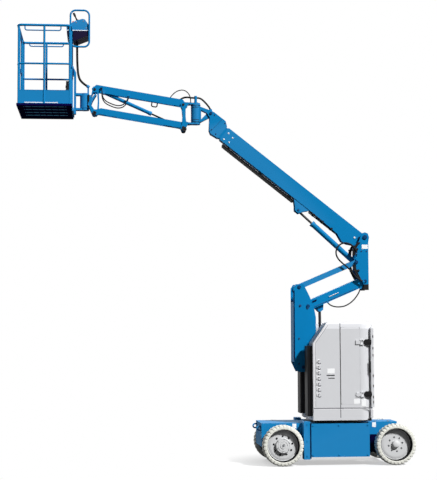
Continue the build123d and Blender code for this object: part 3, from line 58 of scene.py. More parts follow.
NODES = frame["nodes"]
PIN = {joint["name"]: Vector(joint["pos_m"]) for joint in frame["joints"] if "pos_m" in joint}
SLEW_X = PIN["slew"].x
RISER_ANGLE = radians(23.1)
BOOM_ANGLE = radians(38.2)
JIB_ANGLE = radians(9.2)
LINK_LENGTH = 0.89
ACROSS = Vector((0, 1, 0))
UP = Vector((0, 0, 1))
HANDS = (-1, 1)
SIDES = (("near", -1), ("far", 1))
BLUE = (0, 120, 178)

# how far each part's side stands from the middle plane of the machine
COVER_SIDE = 0.53
CHASSIS_SIDE = 0.5
RISER_SIDE = 0.1402
BOOM_SIDE = 0.0752
# how far the pins' ends stand from that plane, and the pins' radius
RISER_PIN_REACH, RISER_PIN = 0.148, 0.025
JIB_PIN_REACH, JIB_PIN = 0.086, 0.018


# ---------------------------------------------------------------- surfaces
class Surface:
    """Vertices and faces gathered for one mesh, each face with the number of its material."""

    def __init__(self):
        self.vertices, self.faces, self.slots, self.count = [], [], [], 0

    def add(self, vertices, faces, slot=0):
        """Add a patch: an array of points and a list of faces that count from its first point."""
        self.vertices.append(np.asarray(vertices, float))
        self.faces += [[index + self.count for index in face] for face in faces]
        self.slots += [slot] * len(faces)
        self.count += len(vertices)

    def grid(self, points, slot=0, caps=False):
        """Add a sheet through rows x columns of points, its last column joined to its first."""
        rows, columns = points.shape[:2]
        row, column = np.meshgrid(np.arange(rows - 1), np.arange(columns), indexing="ij")
        after = (column + 1) % columns
        here, above = row * columns, (row + 1) * columns
        corners = (here + column, here + after, above + after, above + column)
        faces = np.stack(corners, -1).reshape(-1, 4).tolist()
        if caps:
            faces.append(list(range(columns))[::-1])
            faces.append(list(range((rows - 1) * columns, rows * columns)))
        self.add(points.reshape(-1, 3), faces, slot)

    def revolved(self, profile, centre, axis, steps=64, slot=0, slots=None):
        """Turn (radius, height) pairs about an axis: p = centre + h axis + r (cos t u + sin t v)."""
        axis = Vector(axis).normalized()
        u = Vector(axis.orthogonal()).normalized()
        v = axis.cross(u)
        turn = np.linspace(0, tau, steps, endpoint=False)
        ring = np.outer(np.cos(turn), u) + np.outer(np.sin(turn), v)
        r, h = (np.array([pair[k] for pair in profile])[:, None, None] for k in range(2))
        points = np.array(centre) + h * np.array(axis) + r * ring[None]
        if slots is None:
            self.grid(points, slot)
        else:
            for k, number in enumerate(slots):
                self.grid(points[k:k + 2], number)

    def tube(self, points, radius, sides=20, slot=0, closed=False):
        """Sweep a circle along a line of points: p(s, t) = c(s) + radius (cos t n(s) + sin t b(s))."""
        line = np.array([tuple(p) for p in points], float)
        ahead = np.roll(line, -1, 0) - line
        behind = line - np.roll(line, 1, 0)
        if not closed:
            ahead[-1], behind[0] = behind[-1], ahead[0]
        way = sum(part / np.linalg.norm(part, axis=1)[:, None] for part in (ahead, behind))
        way /= np.linalg.norm(way, axis=1)[:, None]
        normal = np.array(Vector(way[0]).orthogonal().normalized())
        turn = np.linspace(0, tau, sides, endpoint=False)
        rings = []
        for place, tangent in zip(line, way):
            normal = normal - tangent * normal.dot(tangent)
            normal /= np.linalg.norm(normal)
            side = np.cross(tangent, normal)
            rings.append(place + radius * (np.outer(np.cos(turn), normal) + np.outer(np.sin(turn), side)))
        if closed:
            rings.append(rings[0])
        self.grid(np.array(rings), slot, caps=not closed)

    def plate(self, outline, low, high, slot=0):
        """A flat plate: an outline of (x, z) points, carried from one y to another."""
        around = sum(a[0] * b[1] - b[0] * a[1] for a, b in zip(outline, outline[1:] + outline[:1]))
        if around < 0:
            outline = outline[::-1]
        n = len(outline)
        points = [(x, y, z) for y in (low, high) for x, z in outline]
        faces = [list(range(n)), list(range(2 * n - 1, n - 1, -1))]
        faces += [[(k + 1) % n, k, n + k, n + (k + 1) % n] for k in range(n)]
        self.add(points, faces, slot)

    def side_plate(self, outline, hand, near, far, slot=0):
        """A plate on one side of the machine, between two distances from its middle plane."""
        self.plate(outline, *sorted((hand * near, hand * far)), slot)

    def block(self, low, high, slot=0):
        """A box between its lowest and highest corners."""
        (x0, y0, z0), (x1, y1, z1) = low, high
        self.plate(oblong(x0, x1, z0, z1), y0, y1, slot)

    def bolt(self, place, way, size, slot=0):
        """A washer under a six-sided head; size is the head's radius."""
        washer = ((0.01, 0), (1.35, 0), (1.35, 0.18), (0.01, 0.2))
        head = ((0.01, 0.1), (1, 0.1), (1, 0.75), (0.85, 0.9), (0.01, 0.92))
        for profile, steps in ((washer, 24), (head, 6)):
            self.revolved([(r * size, h * size) for r, h in profile], place, way, steps, slot)

    def side_bolt(self, place, hand, reach, size, slot=0):
        """A bolt that faces out of one side of the machine, at a distance from its middle plane."""
        self.bolt(place + ACROSS * (hand * reach), ACROSS * hand, size, slot)

    def pin_ends(self, place, reach, radius, slot=0):
        """The round ends of a pin across the machine, each with a raised middle and a rounded rim."""
        for hand in HANDS:
            end = Vector((place.x, hand * reach, place.z))
            middle = [(0.001, 0.007), (0.55 * radius, 0.007), (0.6 * radius, 0.004)]
            rim = [(0.9 * radius, 0.004), (radius, 0.001), (radius, -0.004)]
            self.revolved((middle + rim)[::-1], end, ACROSS * hand, 32, slot)

    def make(self, name, finishes, body, replaces=(), bevel=0.0, smooth=35):
        """Turn the gathered patches into an object that rides on a body of the frame."""
        mesh = bpy.data.meshes.new(name)
        mesh.from_pydata(np.concatenate(self.vertices).tolist(), [], self.faces)
        for finish in finishes:
            mesh.materials.append(FINISH[finish])
        mesh.polygons.foreach_set("material_index", self.slots)
        mesh.polygons.foreach_set("use_smooth", [True] * len(mesh.polygons))
        mesh.set_sharp_from_angle(angle=radians(smooth))
        piece = bpy.data.objects.new(name, mesh)
        bpy.context.collection.objects.link(piece)
        if bevel:
            edge = piece.modifiers.new("edge", "BEVEL")
            edge.width, edge.segments, edge.angle_limit = bevel, 2, radians(50)
            edge.limit_method = "ANGLE"
        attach(piece, body)
        if replaces:
            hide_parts(*replaces)


def oblong(x0, x1, z0, z1):
    """The outline of an upright oblong between two x and two z."""
    return [(x0, z0), (x1, z0), (x1, z1), (x0, z1)]


def along(place, angle, run, rise=0.0, facing=1):
    """The point run along a line angle above +X (or -X where facing is -1), and rise square to it."""
    level = facing * (run * cos(angle) - rise * sin(angle))
    return place + Vector((level, 0, run * sin(angle) + rise * cos(angle)))


def laid(place, angle, outline, facing=1):
    """An outline of (run, rise) pairs laid along a sloping line, as (x, z) points."""
    return [tuple(along(place, angle, run, rise, facing).xz) for run, rise in outline]


def bent_rail(corners, radius, closed=False, steps=7):
    """The middle line of a steel tube bent to one radius at each of its corners."""
    corners = [Vector(c) for c in corners]
    line, count = [], len(corners)
    for k, corner in enumerate(corners):
        if not closed and k in (0, count - 1):
            line.append(corner)
            continue
        back = (corners[k - 1] - corner).normalized()
        on = (corners[(k + 1) % count] - corner).normalized()
        half = back.angle(on) / 2
        inset = radius * cos(half) / sin(half)
        middle = corner + (back + on).normalized() * (radius / sin(half))
        first, last = corner + back * inset - middle, corner + on * inset - middle
        sweep = first.angle(last)
        for t in np.linspace(0, 1, steps):
            line.append(middle + (first * sin((1 - t) * sweep) + last * sin(t * sweep)) / sin(sweep))
    return line


# ---------------------------------------------------------------- materials
def linear(colour):
    """A colour of 0 to 255 steps as the linear values that the shader takes."""
    parts = np.array(colour, float) / 255
    return (*np.where(parts <= 0.04045, parts / 12.92, ((parts + 0.055) / 1.055) ** 2.4), 1.0)


def node(tree, kind, inputs, result, **settings):
    """A shader node with its settings, its inputs set or joined, and one of its outputs."""
    made = tree.nodes.new(f"ShaderNode{kind}")
    for name, value in settings.items():
        setattr(made, name, value)
    for key, value in inputs.items():
        if isinstance(value, bpy.types.NodeSocket):
            tree.links.new(value, made.inputs[key])
        else:
            made.inputs[key].default_value = value
    return made.outputs[result]


def mixed(tree, share, first, second):
    """The first colour, turned toward the second by a share."""
    return node(tree, "Mix", {"Factor": share, "A": first, "B": second}, "Result", data_type="RGBA")


def ranged(tree, value, start, end, low=0.0, high=1.0, kind="LINEAR"):
    """A value read between start and end, and given out between low and high."""
    inputs = {"Value": value, "From Min": start, "From Max": end, "To Min": low, "To Max": high}
    return node(tree, "MapRange", inputs, "Result", interpolation_type=kind)


def coordinate(tree, axis):
    """One of the piece's own coordinates, by its letter."""
    place = node(tree, "TexCoord", {}, "Object")
    return node(tree, "SeparateXYZ", {"Vector": place}, axis)


def surface_material(
    name, colour, rough=0.4, metal=0.0, gloss=0.5, coat=0.0, vary=0.06, grain=900, bump=0.02,
    pale_edges=0.0, shift=6, zones=(),
):
    """A finish with slight changes of tone, fine grain in its gloss and relief, and paler paint on its sharp
    edges.

    Each zone turns to another colour where a coordinate passes from one value to another.
    """
    material = bpy.data.materials.new(name)
    material.use_nodes = True
    tree = material.node_tree
    shader = tree.nodes["Principled BSDF"]
    shader.inputs["Metallic"].default_value = metal
    shader.inputs["Specular IOR Level"].default_value = gloss
    shader.inputs["Coat Weight"].default_value = coat
    shader.inputs["Coat Roughness"].default_value = 0.12
    place = node(tree, "TexCoord", {}, "Object")
    tone = node(tree, "TexNoise", {"Vector": place, "Scale": shift, "Detail": 4}, "Fac")
    fine = node(tree, "TexNoise", {"Vector": place, "Scale": grain, "Detail": 3}, "Fac")
    base = linear(colour)[:3]
    darker, lighter = (tuple(min(1, c * part) for c in base) + (1,) for part in (1 - vary, 1 + vary))
    paint = mixed(tree, tone, darker, lighter)
    if pale_edges:
        edge = ranged(tree, node(tree, "NewGeometry", {}, "Pointiness"), 0.53, 0.62, high=pale_edges)
        paint = mixed(tree, edge, paint, tuple(min(1, 0.15 + c * 1.3) for c in base) + (1,))
    for axis, start, end, other, share in zones:
        zone = ranged(tree, coordinate(tree, axis), start, end, high=share)
        paint = mixed(tree, zone, paint, linear(other))
    relief = {"Height": fine, "Strength": bump * 5, "Distance": 0.0006}
    for socket, value in (
        ("Base Color", paint),
        ("Roughness", ranged(tree, fine, 0, 1, rough * 0.85, min(1, rough * 1.15))),
        ("Normal", node(tree, "Bump", relief, "Normal")),
    ):
        tree.links.new(value, shader.inputs[socket])
    return material


FINISHES = {
    "blue": dict(colour=BLUE, rough=0.5, gloss=0.08, vary=0.04, grain=420, pale_edges=0.12),
    # a darker copy of the blue paint: painted shade on pin ends, bolts, a weld and lines along edges
    "blue_painted_shade": dict(colour=(3, 62, 108), rough=0.5, gloss=0.1, grain=420, pale_edges=0.2),
    "cover": dict(
        colour=(203, 204, 207), rough=0.5, gloss=0.3, vary=0.02, grain=700, bump=0.03,
        # above a height of 1.87 the cover turns paler: a painted highlight on its sloping top, where the
        # light falls from above
        zones=(("Z", 1.866, 1.872, (232, 233, 237), 0.8),),
    ),
    # a paler copy of the cover's grey: painted highlight on the folded edge, vent lips, a groove's lip and
    # thin strips
    "grey_painted_highlight": dict(colour=(226, 226, 228), coat=0.1, vary=0.02, grain=700, bump=0.03),
    # a darker grey: the panels' joints, and painted shade round the vents' lips and behind the folded edge
    "grey_joint_and_painted_shade": dict(colour=(104, 104, 110), rough=0.6, vary=0.05, grain=500, bump=0.03),
    "tyre": dict(colour=(218, 218, 210), rough=0.8, gloss=0.15, vary=0.05, grain=260, bump=0.08, shift=18),
    "disc": dict(colour=(203, 204, 205), rough=0.5, gloss=0.03, vary=0.03, grain=500),
    # near black: painted shade in the wheel discs' dish, on and round their nuts, and the colour of the jib's
    # rod
    "dish": dict(colour=(6, 6, 8), rough=0.6, gloss=0.1, vary=0.12, grain=300, bump=0.04),
    "black": dict(colour=(12, 12, 14), rough=0.5, gloss=0.25, vary=0.15, grain=500, bump=0.05),
    "rubber": dict(colour=(8, 8, 10), rough=0.62, gloss=0.2, vary=0.2, bump=0.08),
    "plastic": dict(colour=(11, 10, 12), rough=0.55, gloss=0.2, vary=0.1, grain=1200, bump=0.07),
    "steel": dict(colour=(150, 152, 156), rough=0.34, metal=0.9, vary=0.08, grain=700, bump=0.03),
    "rod": dict(colour=(34, 35, 39), rough=0.35, gloss=0.35, coat=0.15, vary=0.03, bump=0.0),
    # a dark navy copy of the blue: painted shade on the platform's underside, in a slot and a recess, and
    # along edges
    "navy_painted_shade": dict(colour=(10, 8, 46), rough=0.6, gloss=0.0, vary=0.1, grain=400, bump=0.03),
    "white": dict(colour=(240, 241, 242), rough=0.45, vary=0.02, grain=600),
    "iron": dict(colour=(70, 71, 74), rough=0.7, vary=0.15, grain=160, bump=0.15),
    "red": dict(colour=(190, 30, 28)),
}
FINISH = {}
DRESSED = {
    "blue": (
        "chassis_frame", "riser_frame", "lower_link_main", "lower_link_level", "tower", "upper_link_main",
        "upper_link_level", "knuckle", "boom_outer", "boom_inner", "tip_bracket", "jib_base", "jib_upper",
        "jib_lower", "platform_head", "platform_support", "gate", "lift_barrel", "basket_frame", "jib_barrel",
    ),
    "cover": ("side_cover_near", "side_cover_far", "cover_door_near", "cover_door_far", "turntable_base"),
    "black": (
        "slew_ring", "drive_hubs", "steer_axle", "steer_knuckle_near", "steer_knuckle_far", "tie_bar",
        "riser_barrel",
    ),
    "hood": ("control_box",),
    "plastic": ("front_guards", "outlet_box"),
    "rubber": (
        "rest_pads", "riser_hose", "knuckle_hose", "tip_hose", "swivel_hose", "arch_hose", "jib_hose_near",
        "jib_hose_far", "platform_hose", "cable_track",
    ),
    "tyre": ("tyre_drive_near", "tyre_drive_far", "tyre_steer_near", "tyre_steer_far"),
    "disc": ("rim_drive_near", "rim_drive_far", "rim_steer_near", "rim_steer_far"),
    "rod": ("riser_rod", "lift_rod"),
    "dish": ("jib_rod",),
    "iron": ("counterweight", "battery_packs"),
    "floor_pan": ("basket_floor",),
}


def floor_pan_material():
    """Blue paint on the deck, and below it a dark navy pan of painted shade, with four rows of short slots
    painted pale as painted light through them.
    """
    pan = dict(FINISHES["navy_painted_shade"], colour=(14, 10, 64))
    material = surface_material("floor_pan", **pan)
    tree = material.node_tree
    paint = tree.nodes["Principled BSDF"].inputs["Base Color"]
    low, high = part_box("basket_floor")
    middle, half = (low.x + high.x) / 2, (high.x - low.x) / 2
    margin, row_pitch, row_half = 0.11, 0.245, 0.17
    slots_a_metre, slot_half, end_margin, side_margin, deck_thickness = 11.0, 0.44, 0.08, 0.1, 0.0045

    def maths(operation, *values):
        return node(tree, "Math", dict(enumerate(values)), "Value", operation=operation)

    def within(value, centre, reach):
        return maths("LESS_THAN", maths("ABSOLUTE", maths("SUBTRACT", value, centre)), reach)

    x, y, z = (coordinate(tree, axis) for axis in "XYZ")
    rows = maths("DIVIDE", maths("SUBTRACT", y, low.y + margin), row_pitch)
    row = within(maths("FRACT", rows), 0.5, row_half)
    slot = within(maths("FRACT", maths("MULTIPLY", x, slots_a_metre)), 0.5, slot_half)
    mask = maths("MULTIPLY", row, slot)
    for inside in (within(x, middle, half - end_margin), within(y, 0.0, high.y - side_margin)):
        mask = maths("MULTIPLY", mask, inside)
    # the slots are painted pale: painted light that shows through them
    lit = mixed(tree, mask, paint.links[0].from_socket, linear((120, 205, 250)))
    deck = maths("GREATER_THAN", z, high.z - deck_thickness)
    tree.links.new(mixed(tree, deck, lit, linear(FINISHES["blue"]["colour"])), paint)
    return material


def set_materials():
    """Give every node of the frame its finish."""
    for finish, names in DRESSED.items():
        for name in names:
            mesh = NODES[name].data
            mesh.materials.clear()
            mesh.materials.append(FINISH[finish])


# ---------------------------------------------------------------- wheels
def tyre(kind, name, middle, hand, lugs, groove):
    """A solid tyre whose lugs run round it and wrap its shoulders.

    p = c + h(s, t) out + r(s, t) (cos t X + sin t Z): a section (r, h) in s, cut by a wave of lugs in t.
    """
    radius, half, rim, shoulder = 0.28, 0.09, 0.221, 0.244
    land, slope, stagger, lean = 0.42, 0.16, 0.5, 0.3
    # of a cut in the side, this share goes inward and this one across
    side_in, side_across = 0.35, 0.55
    steps_a_lug = 12
    # across the tyre from its outer bead to its inner one: radius, height outward, and how deep the lugs cut
    section = np.array((
        (rim, 0.08, 0), (0.2225, 0.086, 0), (0.226, 0.0885, 0), (0.236, 0.0895, 0), (shoulder, 0.0895, 0.25),
        (0.254, 0.0885, 1), (0.264, 0.0865, 1), (0.2725, 0.081, 1), (0.277, 0.073, 1), (0.2792, 0.06, 1),
        (0.2798, 0.04, 1), (0.2799, 0.022, 0.9), (radius, 0.01, 0.25), (radius, 0.0, 0),
        (radius, -0.01, 0.25), (0.2799, -0.022, 0.9), (0.2798, -0.04, 1), (0.2792, -0.06, 1),
        (0.277, -0.073, 1), (0.2725, -0.081, 1), (0.264, -0.0865, 1), (0.254, -0.0885, 1),
        (0.236, -0.0895, 0), (0.2225, -0.086, 0), (rim, -0.08, 0),
    ))
    steps = lugs * steps_a_lug
    turn = np.linspace(0, tau, steps, endpoint=False)
    r, h, share = (section[:, k][:, None] for k in range(3))
    phase = turn[None] * lugs / tau + stagger * (h < 0) - lean * np.abs(h) / half
    wave = np.abs((phase % 1) - 0.5) * 2
    cut = np.clip((land - wave) / slope, 0, 1) * share * groove
    inward = np.clip((r - shoulder) / (radius - shoulder), 0, 1)
    r_cut = r - cut * (side_in + (1 - side_in) * inward)
    h_cut = h - np.sign(h) * cut * side_across * (1 - inward)
    ring = np.stack((np.cos(turn * hand), np.zeros(steps), np.sin(turn * hand)), -1)
    out = np.array(ACROSS * hand)
    points = np.array(middle) + h_cut[..., None] * out + r_cut[..., None] * ring[None]
    tread = Surface()
    tread.grid(points[:, ::-1])
    tread.grid(np.stack([points[-1, ::-1], points[0, ::-1]]))
    tread.make(
        f"tyre_tread_{kind}_{name}", ["tyre"], f"wheel_{kind}_{name}",
        [f"tyre_{kind}_{name}"], smooth=32,
    )


def disc(kind, name, middle, hand):
    """A deep dished disc with its hub, turned from a profile, and the nuts on it."""
    out = ACROSS * hand
    kit = Surface()

    def place(radius, angle, height):
        return middle + out * height + Vector((radius * cos(angle), 0, radius * sin(angle)))

    edge = [
        (0.2205, -0.078), (0.2205, 0.082), (0.219, 0.0835), (0.2175, 0.082), (0.2165, 0.07), (0.213, 0.03),
    ]
    drop = [(0.208, 0.008), (0.198, 0.004), (0.192, 0.008), (0.17, 0.0125), (0.148, 0.013)]
    back = [(0.001, -0.002), (0.208, -0.002), (0.211, -0.01), (0.213, -0.07), (0.2205, -0.078)]
    if kind == "drive":
        face = [
            (0.104, 0.013), (0.101, 0.016), (0.1, 0.054), (0.097, 0.057), (0.086, 0.0585),
            (0.084, 0.055), (0.076, 0.055), (0.074, 0.06), (0.056, 0.061), (0.054, 0.057),
            (0.044, 0.057), (0.042, 0.064), (0.024, 0.065), (0.022, 0.061), (0.001, 0.061),
        ]
    else:
        face = [
            (0.064, 0.013), (0.06, 0.015), (0.053, 0.016), (0.051, 0.03), (0.048, 0.042),
            (0.04, 0.052), (0.027, 0.058), (0.012, 0.0605), (0.001, 0.061),
        ]
    # the dish's rounded edge and inner wall, and the disc's back, take the near-black finish: painted shade
    # in the recess
    profile = edge + drop + face
    slots = [1] * len(edge) + [0] * (len(drop) + len(face) - 1)
    kit.revolved(profile[::-1], middle, out, 72, slots=slots[::-1])
    kit.revolved(back[::-1], middle, out, 72, slot=1)
    # the drive wheel's nuts and the seats round the steer wheel's nuts are near black too: painted shade of
    # bolt holes
    nuts, circle = (9, 0.128) if kind == "drive" else (8, 0.097)
    for angle in np.linspace(0, tau, nuts, endpoint=False) + 0.2:
        if kind == "drive":
            kit.bolt(place(circle, angle, 0.0126), out, 0.01, 1)
        else:
            seat = [(0.001, 0.0132), (0.009, 0.0132), (0.0095, 0.0142), (0.012, 0.0142), (0.0125, 0.0128)]
            kit.revolved(seat, place(circle, angle, 0), out, 20, 1)
            kit.bolt(place(circle, angle, 0.0131), out, 0.0058, 2)
    if kind == "drive":
        for angle in np.linspace(0, tau, 6, endpoint=False) + 0.4:
            screw = Vector((0.091 * cos(angle), 0, 0.094 * sin(angle)))
            kit.bolt(middle + out * 0.0578 + screw, out, 0.0052, 2)
        kit.bolt(middle + out * 0.061, out, 0.012, 2)
    kit.make(
        f"wheel_disc_{kind}_{name}", ["disc", "dish", "steel"], f"wheel_{kind}_{name}",
        [f"rim_{kind}_{name}"],
    )


# ---------------------------------------------------------------- platform
def basket_tubes(rail, post, bend):
    """The platform's bent guard rails, posts, drop rails, toe boards and the control box's guard loop."""
    floor_low, floor_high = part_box("basket_floor")
    inset, rail_height, mid_height, toe_height = 0.018, 1.1, 0.55, 0.183
    sheet, gate = 0.0022, 0.29
    front, rear, side = floor_low.x + inset, floor_high.x - inset, floor_high.y - inset
    deck = floor_high.z - 0.003
    top, mid, toe = deck + rail_height - inset, deck + mid_height, deck + toe_height
    kit = Surface()
    ring = [(front, -side, top), (rear, -side, top), (rear, side, top), (front, side, top)]
    kit.tube(bent_rail(ring, bend, closed=True), rail, closed=True)
    mids = [
        (front, -gate, mid), (front, -side, mid), (rear, -side, mid), (rear, side, mid), (front, side, mid),
        (front, gate, mid),
    ]
    kit.tube(bent_rail(mids, bend * 0.8), rail - 0.004)
    for hand in HANDS:
        y = hand * side
        for x in (front + 0.01, rear - 0.01):
            kit.tube([(x, y - hand * 0.01, deck), (x, y - hand * 0.01, top - 0.012)], post)
        middle = (front + rear) / 2 - 0.018 * (hand > 0)
        for x, row in ((middle, y), (front, hand * gate), (rear, hand * gate)):
            kit.tube([(x, row, deck), (x, row, top)], post)
            kit.revolved([(post * 1.16, 0), (post * 1.16, 0.006), (post, 0.009)], (x, row, deck), UP, 24)
        # a thinner rail drops below the top one along most of each side
        x0, x1 = floor_low.x + 0.112, floor_high.x - 0.15
        under, drop = top - 0.008, top - (0.072 if hand < 0 else 0.048)
        kit.tube(bent_rail([(x0, y, under), (x0, y, drop), (x1, y, drop), (x1, y, under)], 0.028), 0.0085)
        # toe boards along the side and beside the gate, each with a rolled upper edge
        start, end = sorted((hand * gate, y))
        for (x0, y0), (x1, y1), dx, dy in (
            ((front, y), (rear, y), 0, sheet),
            ((front, start), (front, end), sheet, 0),
        ):
            kit.block((x0 - dx, y0 - dy, deck + 0.001), (x1 + dx, y1 + dy, toe))
            kit.tube([(x0, y0, toe), (x1, y1, toe)], 0.0045, 10)
    kit.block((rear - sheet, -side, deck + 0.001), (rear + sheet, side, toe))
    # ears that the gate turns on, below its foot and above its top
    for z in (deck + 0.0317, deck + 1.0373):
        for y in (0.24, -0.29):
            kit.block((front - 0.012, y, z), (front + 0.012, y + 0.05, z + 0.008))
    # the loop of tube that guards the control box
    loop = ((-0.03, 0.868), (-0.03, 1.384), (0.232, 1.384), (0.232, 0.868))
    line = bent_rail([(floor_high.x + x, -0.208, deck + z) for x, z in loop], 0.075, closed=True, steps=9)
    kit.tube(line, 0.013, closed=True)
    # a pale strip along the foot of the near toe board: a painted highlight
    kit.block((front + 0.09, -side - 0.0034, deck + 0.006), (rear - 0.17, -side - 0.002, deck + 0.018), 1)
    kit.make(
        "basket_tubes", ["blue", "grey_painted_highlight"], "platform", ["basket_frame"],
        bevel=0.0008, smooth=40,
    )


def basket_pan():
    """The underside of the platform, in navy as painted shade: a rolled rim round the pan, and ribs along it
    and across its ends.
    """
    low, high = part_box("basket_floor")
    inset, ribs = 0.012, 5
    x0, x1, y0, y1 = low.x + inset, high.x - inset, low.y + inset, high.y - inset
    pan = Surface()
    z = low.z + 0.006
    rim = bent_rail([(x0, y0, z + 0.002), (x1, y0, z), (x1, y1, z), (x0, y1, z)], 0.05, closed=True)
    pan.tube(rim, 0.0078, 12, closed=True)
    for y in np.linspace(low.y + 0.11, high.y - 0.11, ribs):
        pan.block((low.x + 0.03, y - 0.006, low.z + 0.003), (high.x - 0.03, y + 0.006, low.z + 0.016))
    for x in (x0, x1):
        pan.block((x - 0.011, low.y + 0.05, low.z + 0.001), (x + 0.011, high.y - 0.05, low.z + 0.014))
    pan.make("basket_pan_ribs", ["navy_painted_shade"], "platform", bevel=0.002)


def control_details():
    """What the control box carries: pale edge lines, dark panels, bolts, clamps, a joystick and buttons."""
    floor_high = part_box("basket_floor")[1]
    corner = Vector((floor_high.x, 0, floor_high.z - 0.003))
    side = 0.1905
    tilt = Vector((-0.42, 0, 0.9))
    edge_line = [(-0.078, 1.098), (0.219, 1.098), (0.22, 1.108), (-0.08, 1.108)]
    dark_panel = [(-0.07, 1.12), (-0.02, 1.12), (-0.02, 1.19), (-0.07, 1.15)]
    kit = Surface()
    for hand in HANDS:
        for outline, slot in ((edge_line, 2), (dark_panel, 1)):
            kit.side_plate([(corner.x + x, corner.z + z) for x, z in outline], hand, side, side + 0.003, slot)
        for x, z in ((0.19, 1.14), (0.05, 1.215), (0.15, 1.235)):
            kit.side_bolt(corner + Vector((x, 0, z)), hand, side + 0.0005, 0.006, 3)
        clamp = corner + Vector((-0.018, hand * 0.145, 1.082))
        hook = ((0.028, -0.06), (0.028, 0.024), (-0.028, 0.024), (-0.028, -0.02))
        kit.tube(bent_rail([clamp + Vector((x, 0, z)) for x, z in hook], 0.02), 0.006, 10, 1)
    # joystick with its bellows, on the sloping panel that faces the platform
    bellows = [
        (0.034, 0.0), (0.036, 0.006), (0.028, 0.012), (0.03, 0.018), (0.022, 0.024), (0.024, 0.03),
        (0.016, 0.036), (0.011, 0.042),
    ]
    stick = [(0.0095, 0.085), (0.013, 0.092), (0.0165, 0.105), (0.0165, 0.132), (0.013, 0.146), (0.001, 0.15)]
    kit.revolved(bellows + stick, corner + Vector((0.072, -0.115, 1.236)), tilt, 28, 1)
    # the stop button is red, the others black
    button = [(0.014, 0), (0.014, 0.008), (0.011, 0.01), (0.011, 0.018), (0.001, 0.02)]
    for y, slot in ((-0.14, 4), (0.0, 1), (0.05, 1), (0.1, 1), (0.15, 1)):
        kit.revolved(button, corner + Vector((0.01, y, 1.2275)), tilt, 24, slot)
    kit.make(
        "control_box_kit", ["blue", "plastic", "white", "steel", "red"], "platform",
        bevel=0.0015,
    )


def outlet_box():
    """The outlet box, with a lid on its near side and two sockets that face the gate."""
    low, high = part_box("outlet_box")
    box = Surface()
    box.block(low, high)
    box.block((low.x + 0.01, low.y - 0.002, low.z + 0.02), (high.x - 0.01, low.y, high.z - 0.05), 1)
    socket = [(0.022, 0), (0.022, 0.006), (0.017, 0.007), (0.016, 0.002), (0.001, 0.002)]
    for z in (0.045, 0.1):
        box.revolved(socket, (low.x - 0.0005, (low.y + high.y) / 2, low.z + z), (-1, 0, 0), 28, 1)
    box.make(
        "outlet_box_shell", ["plastic", "black"], "platform", ["outlet_box"], bevel=0.004,
    )


